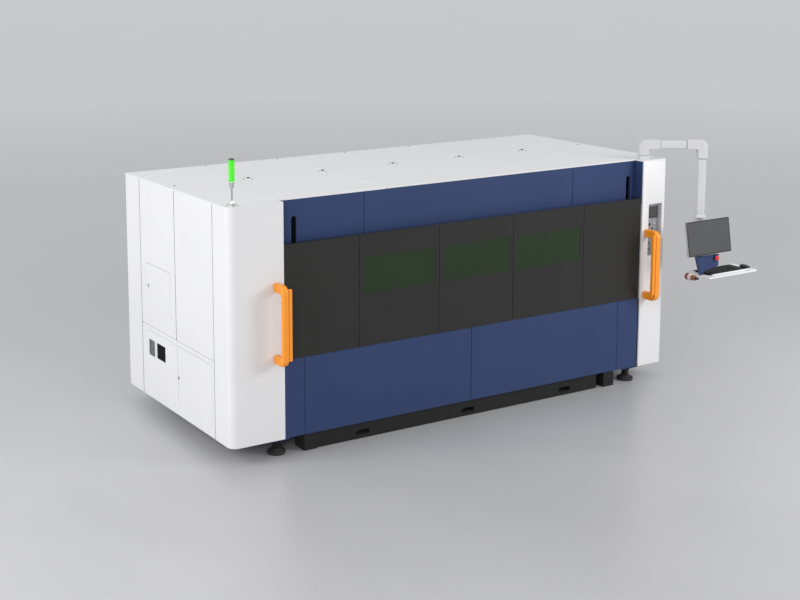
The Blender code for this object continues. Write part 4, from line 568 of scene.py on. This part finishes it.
def arm():
    """Operator's arm: roof foot, two cast elbows with collars, the boom tube and the drop tube."""
    base = Matrix.Translation(ARM) @ Matrix.Rotation(ARM_TURN, 4, "Z")
    foot = square_pipe("arm_base", 0.0465, 2.2053, 2.2443, GREY, base)
    soften(foot, 0.002, 2)
    show(foot, "machine", "light_grey_paint", "arm_foot")
    half = 0.046
    tube = 0.038
    seal = tube + 0.0022
    ring_depth = 0.0035
    axis_z = 2.350
    collar = 0.150
    chamfer = 0.042
    start = 2.2459
    top = axis_z + half
    under = axis_z - half
    drop = axis_z - 0.136
    near_x = ARM_REACH - half
    far_x = ARM_REACH + half
    near = rounded([(-half, start), (half, start), (half, under), (collar, under), (collar, top),
                    (-half + chamfer, top), (-half, top - chamfer)],
                   [0, 0, 0.010, 0, 0, 0.008, 0.008], 5)
    far = rounded([(ARM_REACH - collar, top), (ARM_REACH - collar, under), (near_x, under), (near_x, drop),
                   (far_x, drop), (far_x, top - chamfer), (far_x - chamfer, top)],
                  [0, 0, 0.010, 0, 0, 0.008, 0.008], 5)
    elbows = [extruded("arm_elbow_" + end, [outline], "Y", -half, half, GREY, 0.007, 4, base, clamp=False)
              for end, outline in (("near", near), ("far", far))]
    lie = base @ Matrix.Translation((0, 0, axis_z)) @ AXIS_X
    pipe = square_pipe("arm_pipe", tube, collar - 0.02, ARM_REACH - collar + 0.02, GREY, lie)
    smooth(pipe, 30)
    seals = [square_pipe("arm_seal_%d" % k, seal, x, x + ring_depth, PANEL, lie)
             for k, x in enumerate((collar, ARM_REACH - collar - ring_depth))]
    show(elbows + [pipe] + seals, "boom", "light_grey_paint", "arm_boom")
    hang = Matrix.Translation(DROP) @ Matrix.Rotation(ARM_TURN, 4, "Z")
    pole = square_pipe("drop_pole", tube, 1.650, drop - 0.0003, GREY, hang)
    smooth(pole, 30)
    ring = square_pipe("drop_seal", seal, drop - 0.0045, drop - 0.0006, PANEL, hang)
    wide = 0.053
    shape = bmesh.new()
    rings = []
    for size, z in ((wide, 1.630), (wide, 1.645), (tube + 0.002, 1.662)):
        outline = rounded(rectangle(-size, size, -size, size), 0.010, 6)
        rings.append([shape.verts.new((u, v, z)) for u, v in outline])
    for first, second in zip(rings, rings[1:]):
        for k in range(len(first)):
            after = (k + 1) % len(first)
            shape.faces.new((first[k], first[after], second[after], second[k]))
    shape.faces.new(list(reversed(rings[0])))
    shape.faces.new(rings[-1])
    bmesh.ops.recalc_face_normals(shape, faces=shape.faces)
    flange = smooth(add("drop_flange", mesh_of("drop_flange", shape), GREY, hang), 30)
    column = box("drop_column", (DROP.x - 0.045, DROP.y - 0.015, 1.2623),
                 (DROP.x + 0.045, DROP.y + 0.030, 1.640), GREY, 0.004)
    show([pole, ring, flange, column], "operator_station", "light_grey_paint", "drop_tube")


def console():
    """Blue console plate on its one leg, the block behind it and the stop button."""
    front = DROP.y - 0.095
    outline = [(-0.051, ON_TRAY), (-0.027, ON_TRAY), (-0.018, 1.110), (0.183, 1.143), (0.183, 1.262),
               (-0.116, 1.262), (-0.075, 1.137)]
    face = rounded([(DROP.x + u, v) for u, v in outline],
                   [0.002, 0.002, 0.008, 0.008, 0.008, 0.008, 0.012], 5)
    plate = extruded("console_plate", [face], "Y", front, front + 0.030, BLUE, 0.003)
    block = box("console_block", (DROP.x - 0.045, front + 0.020, 1.236),
                (DROP.x + 0.045, DROP.y + 0.030, 1.2618), BLUE, 0.004)
    show([plate, block], "operator_station", "blue_paint", "console")
    place = at(DROP.x + 0.137, front, 1.229, AXIS_Y)
    collar = turned("stop_collar", [(0, 0.007), (0.014, 0.007), (0.0195, 0.0065), (0.0210, 0.0055),
                                    (0.0210, 0), (0, 0)], BLACK, place)
    show(collar, "operator_station", "black_plastic")
    mushroom = [(0, 0.030), (0.012, 0.0295), (0.019, 0.028), (0.0238, 0.0255), (0.0258, 0.0225),
                (0.0260, 0.019), (0.0255, 0.0155), (0.023, 0.0142), (0.0105, 0.0140), (0.0100, -0.018),
                (0, -0.018)]
    cap = turned("stop_cap", mushroom, RED, place, 56, 50)
    show(cap, "stop", "red_button", "stop_button")


def monitor():
    """Wide screen in a slim black case that leans back, with its knuckle behind."""
    knuckle_y = 0.059
    lean = (at(DROP.x + 0.016, DROP.y - 0.0333, 1.440) @ Matrix.Rotation(-math.radians(9), 4, "X")
            @ at(0, -knuckle_y, 0))
    w = 0.2825
    h = 0.168
    t = 0.028
    frame_edge = rounded(rectangle(-w, w, -h, h), 0.006, 5)
    opening = rectangle(-w + 0.009, w - 0.009, -h + 0.012, h - 0.009)
    case = extruded("monitor_case", [frame_edge, opening], "Y", -t, -t + 0.010, BLACK, 0.0015, 2, lean)
    back = box("monitor_back", (-w + 0.001, -t + 0.006, -h + 0.001), (w - 0.001, 0.0, h - 0.001), BLACK,
               0.005, 4, lean)
    face = box("monitor_face", (-w + 0.008, -t + 0.0015, -h + 0.011), (w - 0.008, -t + 0.008, h - 0.008),
               SCREEN, turn=lean)
    # Painted highlight: chrome strips along the left and bottom of the front, and lighter grey strips on the
    # sides, stand in for the light lines along the screen's edges
    highlight_strips = []
    highlight_width = 0.0045
    for k, (u0, u1, v0, v1) in enumerate(((-w, -w + highlight_width, -h, h), (-w, w, -h, -h + highlight_width))):
        highlight_strips.append(box("monitor_trim_%d" % k, (u0 + 0.001, -t, v0 + 0.001),
                         (u1 - 0.001, -t + 0.004, v1 - 0.001), CHROME, turn=lean))
    for k, side in enumerate((-1, 1)):
        lo, hi = sorted((side * (w - 0.0004), side * (w + 0.0001)))
        highlight_strips.append(box("monitor_side_%d" % k, (lo, -t + 0.008, -h + 0.004), (hi, -0.009, h - 0.004), GREY,
                         turn=lean))
    barrel = [(0, 0.040), (0.0165, 0.040), (0.018, 0.0385), (0.018, -0.0385), (0.0165, -0.040), (0, -0.040)]
    knuckle = turned("monitor_knuckle", barrel, BLACK, lean @ at(0, knuckle_y, 0, AXIS_X), 40)
    web = box("monitor_bracket", (-0.038, -0.004, -0.010), (0.038, 0.055, 0.010), BLACK, 0.003, 2, lean)
    show([case, back, knuckle, web], "screen", "black_plastic", "monitor")
    show(face, "screen")
    show(highlight_strips, "screen", "machined_steel")


def keyboard():
    """Flat keyboard with its rows of keys."""
    width = 0.425
    depth = 0.180
    rear = 0.0205
    front = 0.0125
    margin = 0.010
    pitch = 0.0190
    gap = 0.0022
    x0 = DROP.x + 0.010
    y0 = DROP.y - 0.142
    y1 = y0 + depth
    side = rounded([(y0, ON_TRAY), (y1, ON_TRAY), (y1, ON_TRAY + rear), (y0, ON_TRAY + front)],
                   [0.002, 0.002, 0.004, 0.004], 3)
    case = extruded("keyboard_case", [side], "X", x0, x0 + width, KEYS, 0.002, 2)
    slope = math.atan2(0.008, depth)
    deck = Matrix.Translation((0, y0, ON_TRAY + 0.0128)) @ Matrix.Rotation(slope, 4, "X")
    shape = bmesh.new()

    def key(left, right, v):
        centre = Vector(((left + right) / 2, v, 0.0012))
        size = Vector((right - left - gap, pitch - gap, 0.0030))
        bmesh.ops.create_cube(shape, size=1,
                              matrix=deck @ Matrix.Translation(centre) @ Matrix.Diagonal((*size, 1)))

    # Each digit is a key of some width and the point is a space, in a row of 15 plain keys
    widths = {"1": 1.0, ".": 0.5, "2": 2.0, "3": 1.28, "4": 1.75, "5": 2.1, "9": 6.0}
    row_length = 15.0
    rows = ("1.1111.1111.1111", "11111111111112", "31111111111113", "4111111111114", "511111111115",
            "33393333")
    places = [depth - down - margin for down in (0.020, 0.045, 0.064, 0.083, 0.102, 0.121)]
    for v, row in zip(places, rows):
        u = x0 + margin
        stretch = row_length / sum(widths[c] for c in row)
        for c in row:
            wide = widths[c] * pitch * stretch
            if c != ".":
                key(u, u + wide, v)
            u += wide
    # The arrow block leaves some places free, the number block has them all
    every = (0, 1, 2)
    for start, filled in ((15.35, (every, every, every, (), (1,), every)), (18.65, (every,) * 6)):
        for v, columns in zip(places, filled):
            for column in columns:
                u = x0 + margin + start * pitch + column * pitch
                key(u, u + pitch, v)
    keys = soften(add("keyboard_keys", mesh_of("keyboard_keys", shape), KEYS), 0.0009, 2)
    show([case, keys], "operator_station", "black_plastic", "keyboard")


def mouse():
    """Mouse: a shell that narrows upward and falls toward the front, with its wheel."""
    x = DROP.x + 0.567
    wide = 0.060
    long = 0.105
    high = 0.028
    cage = bmesh.new()
    bmesh.ops.create_cube(cage, size=1, matrix=Matrix.Diagonal((wide, long, high, 1)))
    bmesh.ops.translate(cage, verts=cage.verts, vec=(0, 0, high / 2))
    bmesh.ops.subdivide_edges(cage, edges=cage.edges, cuts=2, use_grid_fill=True)
    for vert in cage.verts:
        up = vert.co.z / high
        along = vert.co.y / (long / 2)
        vert.co.x *= (1 - 0.30 * up ** 2) * (1 - 0.10 * along ** 2)
        vert.co.y *= 1 - 0.12 * up ** 2
        along = vert.co.y / (long / 2)
        vert.co.z *= 1 - 0.28 * max(0.0, -along) * up
    shell = add("mouse_shell", mesh_of("mouse_shell", cage), BLACK, at(x, DROP.y - 0.080, ON_TRAY))
    rounding = shell.modifiers.new("round", "SUBSURF")
    rounding.levels = 2
    rounding.render_levels = 2
    shell.data.shade_smooth()
    wheel = turned("mouse_wheel", [(0, 0.003), (0.0075, 0.003), (0.008, 0.002), (0.008, -0.002),
                                   (0.0075, -0.003), (0, -0.003)], PANEL,
                   at(x, DROP.y - 0.111, ON_TRAY + 0.0130, AXIS_X), 24)
    show(shell, "operator_station", "black_plastic", "mouse")
    show(wheel, "operator_station", "black_plastic")


def tray():
    """White tray with a dark sheet on its top, its raised front lip and the lug of the handset; the handset.
    """
    x0 = DROP.x - 0.052
    x1 = x0 + 0.659
    front = DROP.y - 0.205
    under = TRAY_TOP - 0.018
    lo = TRAY_TOP + 0.0001
    hi = TRAY_TOP + 0.0002
    sheet = rounded(rectangle(x0, x1, front, front + 0.310), 0.015, 8)
    plate = extruded("tray_plate", [sheet], "Z", under, TRAY_TOP, WHITE, 0.003)
    lip = box("tray_lip", (x0 + 0.095, front + 0.045, TRAY_TOP - 0.004),
              (x1 - 0.062, front + 0.061, TRAY_TOP + 0.008), WHITE, 0.003)
    # A dark sheet over the tray top around the keyboard and mouse
    cover = rounded(rectangle(x0 + 0.076, x1 - 0.062, front + 0.062, front + 0.300), 0.006, 6)
    dark_sheet = extruded("tray_dark_sheet", [cover], "Z", lo, hi, RUBBER)
    shelf_low = TRAY_TOP - 0.036
    shelf_top = TRAY_TOP - 0.030
    shelf = [(x0 - 0.155, shelf_low), (x0 + 0.020, shelf_low), (x0 + 0.020, TRAY_TOP - 0.006),
             (x0 - 0.006, TRAY_TOP - 0.006), (x0 - 0.006, shelf_top), (x0 - 0.155, shelf_top)]
    lug = extruded("tray_lug", [shelf], "Y", front + 0.098, front + 0.140, WHITE, 0.0015, 2)
    # Painted shade: a thin dark strip lying flat on the tray stands in for a slit in front of the lip
    slit_shade = box("tray_slit_shade", (x0 + 0.517, front + 0.018, lo), (x0 + 0.573, front + 0.026, hi), KEYS)
    show([plate, lip, lug], "operator_station", "white_paint", "keyboard_tray")
    show([dark_sheet, slit_shade], "operator_station", "black_plastic")
    rest = TRAY_TOP - 0.036 + 0.006 + 0.0003
    place = at(x0 - 0.133, front + 0.165, rest + 0.034 - 0.004, AXIS_Y)
    cap = turned("handset_cap", [(0, 0), (0.027, 0.0005), (0.0315, 0.003), (0.0335, 0.008),
                                 (0.0335, 0.0345), (0, 0.0345)], MAROON, place)
    grip = turned("handset_body", [(0, 0.0335), (0.0310, 0.0335), (0.0312, 0.0365), (0.0335, 0.0375),
                                   (0.0335, 0.066), (0.030, 0.0700), (0, 0.0700)], CREAM, place)
    neck = [(0, 0.0695), (0.0255, 0.0695)]
    for k in range(5):
        y = 0.0725 + k * 0.0072
        neck += [(0.0260, y), (0.0260, y + 0.0038), (0.0235, y + 0.0046), (0.0235, y + 0.0064)]
    neck += [(0.0180, 0.1098), (0, 0.1098)]
    ring = turned("handset_ring", neck, BROWN, place)
    tip = turned("handset_tip", [(0, 0.107), (0.0130, 0.107), (0.0130, 0.124), (0.0112, 0.143),
                                 (0.0080, 0.151), (0.0040, 0.1545), (0, 0.155)], BLACK, place, 40)
    show([grip], "operator_station", "panel_grey", "handset")
    show([cap, ring, tip], "operator_station", "panel_grey")


def operator_panel():
    """Recessed panel in the right corner sheet: screen, buttons and lamps."""
    x0 = 2.1953
    x1 = 2.3667
    z0 = 1.2573
    z1 = 1.7697
    rim = 0.003
    near = FRONT + rim
    face = FRONT + 0.045
    behind = face + 0.001
    holes = [circle(x, z, BUTTON_HOLE) for x, z in BUTTONS]
    pieces = [
        extruded("recess_back", [rectangle(x0, x1, z0, z1), *holes], "Y", face, face + 0.006, PANEL),
        box("recess_left", (x0, near, z0), (x0 + rim, behind, z1), GREY),
        box("recess_right", (x1 - rim, near, z0), (x1, behind, z1), GREY),
        box("recess_floor", (x0, near, z0), (x1, behind, z0 + rim), GREY),
        box("recess_roof", (x0, near, z1 - rim), (x1, behind, z1), GREY),
    ]
    show(pieces, "machine", "panel_grey", "operator_panel")
    screen = box("panel_screen_frame", (2.2353, face - 0.004, 1.620), (2.3532, behind, 1.735), BLACK,
                 0.0015, 2)
    glass = box("panel_screen_glass", (2.2410, face - 0.0044, 1.628), (2.3475, face - 0.003, 1.729), SCREEN)
    show([screen, glass], "machine", "black_plastic")
    collar = [(BUTTON_HOLE, 0.0022), (0.0128, 0.0022), (0.0134, 0.0012), (0.0134, 0), (BUTTON_HOLE, 0),
              (BUTTON_HOLE, 0.0022)]
    button = [(0, 0.0078), (0.0080, 0.0078), (0.0094, 0.0070), (0.0098, 0.0055), (0.0098, -0.005),
              (0, -0.005)]
    for number, ((x, z), finish) in enumerate(zip(BUTTONS, (BLACK, GREY))):
        place = at(x, face, z, AXIS_Y)
        bezel = turned("panel_bezel_%d" % number, collar, CHROME, place, 40)
        knob = turned("panel_knob_%d" % number, button, finish, place, 40)
        show(bezel, "machine", "polished_metal")
        show(knob, "button_%d" % (number + 1), "black_plastic", "panel_button_%d" % (number + 1))
    pilot = [(0, 0.0078), (0.0062, 0.0078), (0.0072, 0.0066), (0.0074, 0.0026), (0.0096, 0.0024),
             (0.0099, 0.0012), (0.0099, 0), (0, 0)]
    pilots = ((2.289, 1.515, BLACK), (2.242, 1.436, CHROME), (2.243, 1.372, BLACK), (2.245, 1.308, BLACK))
    for number, (x, z, finish) in enumerate(pilots):
        bezel = turned("panel_lamp_%d" % number, pilot, finish, at(x, face, z, AXIS_Y), 40)
        show(bezel, "machine", "black_plastic")


def left_end():
    """Locks of the left end, each with a round head and a slot for its key."""
    lock = [(0, 0.0010), (0.0075, 0.0010), (0.0080, 0.0022), (0.0120, 0.0032), (0.0148, 0.0030),
            (0.0158, 0.0018), (0.0160, 0.0003), (0.0128, 0.0003), (0.0128, -0.029), (0, -0.029)]
    for name, body, y, z in (("access_latch", "access_key", 0.567, 1.222),
                             ("cabinet_latch", "cabinet_key", -0.0458, 0.507)):
        place = at(LEFT, y, z, AXIS_OUT_LEFT)
        head = turned(name + "_head", lock, STEEL, place, 48, 50)
        slot = box(name + "_slot", (-0.0006, -0.0050, 0.0008), (0.0006, 0.0050, 0.0013), BLACK, turn=place)
        show(head, body, "machined_steel", name)
        show(slot, body, "black_plastic")


def painted_seam_shades():
    """Painted shade: dark strips in the gaps between the panels and over their rounded edges, where the light
    doesn't reach, and one along the right end of the skirt.
    """
    roof_half = 0.0019
    side_half = 0.0045
    lo = TOP - 0.0040
    hi = lo + 0.0006
    strips = []
    # Painted shade in the gaps of the roof sheets
    for number, x in ROOF_SEAMS_X:
        strips.append(box("roof_seam_x_%d" % number, (x - roof_half, -0.745, lo), (x + roof_half, 1.038, hi),
                          SEAM_SHADE))
    for k, y in enumerate((-0.75, ROOF_SEAM_Y)):
        strips.append(box("roof_seam_y_%d" % k, (LEFT + 0.002, y - roof_half, lo),
                          (RIGHT - 0.002, y + roof_half, hi), SEAM_SHADE))
    # Painted shade over the side seams and their rounded edges
    for k, (y, low) in enumerate(((-0.75, 0.158), (-0.011, 0.845), (0.728, 0.158))):
        strips.append(box("side_seam_%d" % k, (LEFT + 0.0004, y - side_half, low),
                          (LEFT + 0.0036, y + side_half, TOP - 0.014), SEAM_SHADE))
    # Painted shade along the right end of the skirt, beside the white corner sheet
    strips.append(box("corner_seam_shade_right", (2.1030, -1.0256, 0.158), (2.1148, -1.0246, 0.838), KEYS))
    show(strips, "machine", "black_plastic")


def roof_fixings():
    """Covers and screws where the roof seams cross, and one screw near each end of a seam."""
    level = TOP - 0.0002
    screw = (0.0085, 0.0040)
    collar = [(0.0170, 0.0005), (0.0175, 0.0030), (0.0270, 0.0026), (0.0310, 0.0), (0.0170, 0.0)]
    button = [(0, 0.0100), (0.0110, 0.0096), (0.0150, 0.0076), (0.0168, 0.0040), (0.0168, 0.0), (0, 0.0)]
    pieces = []
    for number, x in ROOF_SEAMS_X:
        pieces += [
            turned("roof_collar_%d" % number, collar, WHITE, at(x, ROOF_SEAM_Y, level), 40),
            turned("roof_plug_%d" % number, button, RUBBER, at(x, ROOF_SEAM_Y, level), 32),
            screw_head("roof_screw_left_%d" % number, at(x - 0.052, 0.134, level), *screw),
            screw_head("roof_screw_front_%d" % number, at(x + 0.010, 0.095, level), *screw, ZINC),
            screw_head("roof_screw_rear_%d" % number, at(x, 1.005, level), *screw, ZINC),
        ]
    for k, x in enumerate((LEFT + 0.085, RIGHT - 0.085)):
        pieces.append(screw_head("roof_screw_end_%d" % k, at(x, ROOF_SEAM_Y, level), *screw))
    show(pieces, "machine", "black_steel")


def slot_shade_backs():
    """Painted shade: dark sheets behind the two lift slots of the header, so that the slots look black
    inside.
    """
    shade_backs = [box("slot_back_%d" % k, (x - 0.045, -0.8620, 1.700), (x + 0.045, -0.8600, 2.060), BLACK)
             for k, x in enumerate((-1.735, 2.025))]
    show(shade_backs, "machine", "black_plastic")


corner_panels()
handles()
feet()
signal_tower()
arm()
console()
monitor()
keyboard()
mouse()
tray()
operator_panel()
left_end()
painted_seam_shades()
roof_fixings()
slot_shade_backs()


# Floor: plain and pale, and paler still far away, so that it meets the background without an edge

ground = surface("pale_floor", (0.50, 0.50, 0.51), 0.34, vary=0.05, scale=0.35, rough_vary=0.10, bump=0.05,
                 bump_scale=60.0)
paint = ground.node_tree
base = paint.nodes["Principled BSDF"].inputs["Base Color"]
spot = node(paint, "ShaderNodeTexCoord", (-1100, -500))
away = node(paint, "ShaderNodeVectorMath", (-900, -500), operation="LENGTH")
paint.links.new(spot.outputs["Object"], away.inputs[0])
fade = ranged(paint, (-700, -500), away.outputs["Value"], {"From Min": 3.0, "From Max": 26.0})
far = mixed(paint, (-80, 420), fade, base.links[0].from_socket, (0.86, 0.86, 0.865))
paint.links.new(far, base)
floor = box("floor", (-150, -150, -0.05), (150, 150, 0.0), ground)


# Background: even light all round, with one plain tone where it is seen or mirrored

world = bpy.data.worlds.new("studio")
bpy.context.scene.world = world
world.use_nodes = True
tree = world.node_tree
tree.nodes.clear()
output = node(tree, "ShaderNodeOutputWorld", (600, 0))
light = node(tree, "ShaderNodeBackground", (100, 120))
light.inputs["Color"].default_value = (0.99, 0.99, 1.0, 1)
light.inputs["Strength"].default_value = 0.59
seen = node(tree, "ShaderNodeBackground", (100, -60))
seen.inputs["Color"].default_value = (0.72, 0.73, 0.75, 1)
seen.inputs["Strength"].default_value = 1.0
path = node(tree, "ShaderNodeLightPath", (-300, 300))
either = node(tree, "ShaderNodeMath", (-150, 300), operation="MAXIMUM")
shown = node(tree, "ShaderNodeMath", (0, 200), operation="MAXIMUM")
mix = node(tree, "ShaderNodeMixShader", (350, 0))
for start, end in (
    (path.outputs["Is Camera Ray"], either.inputs[0]),
    (path.outputs["Is Transmission Ray"], either.inputs[1]),
    (either.outputs["Value"], shown.inputs[0]),
    (path.outputs["Is Glossy Ray"], shown.inputs[1]),
    (shown.outputs["Value"], mix.inputs[0]),
    (light.outputs["Background"], mix.inputs[1]),
    (seen.outputs["Background"], mix.inputs[2]),
    (mix.outputs["Shader"], output.inputs["Surface"]),
):
    tree.links.new(start, end)


# Lamps: name, place, aim, size and power

LAMPS = (
    ("key", (-11.0, 0.5, 6.5), (-2.4, 0, 1.0), (5, 5), 530),
    ("corner", (-8.0, -8.0, 3.5), (-2.4, -1.0, 1.1), (3, 3), 217),
    ("front", (5.0, -6.5, 4.4), (2.0, -1.0, 1.1), (3.5, 3), 264),
    ("overhead", (-2.5, 1.0, 8.0), (-0.5, 0, 2.0), (6, 5), 20),
)
for name, place, aim, size, power in LAMPS:
    data = bpy.data.lights.new(name, "AREA")
    data.shape = "RECTANGLE"
    data.size, data.size_y = size
    data.energy = power
    lamp = bpy.data.objects.new(name, data)
    lamp.location = place
    lamp.rotation_euler = (Vector(aim) - Vector(place)).to_track_quat("-Z", "Y").to_euler()
    bpy.context.scene.collection.objects.link(lamp)

bpy.context.scene.view_settings.view_transform = "Standard"


# Camera, with the optical axis away from the middle of the picture

PIXELS = (800, 600)
AXIS_POINT = (262.0, 160.0)
FOCAL = 1385.8
EYE = (-7.480, -10.8263, 4.3112)
HEADING = math.radians(-28.8295)
TILT = math.radians(81.1522)
ROLL = math.radians(-0.6491)
camera = bpy.data.cameras.new("camera")
camera.sensor_width = 36.0
camera.lens = FOCAL / PIXELS[0] * camera.sensor_width
camera.shift_x = (PIXELS[0] / 2 - AXIS_POINT[0]) / PIXELS[0]
camera.shift_y = (AXIS_POINT[1] - PIXELS[1] / 2) / PIXELS[0]
camera.clip_end = 200.0
eye = bpy.data.objects.new("camera", camera)
eye.matrix_world = (Matrix.Translation(EYE) @ Matrix.Rotation(HEADING, 4, "Z")
                    @ Matrix.Rotation(TILT, 4, "X") @ Matrix.Rotation(ROLL, 4, "Z"))
bpy.context.scene.collection.objects.link(eye)
bpy.context.scene.camera = eye
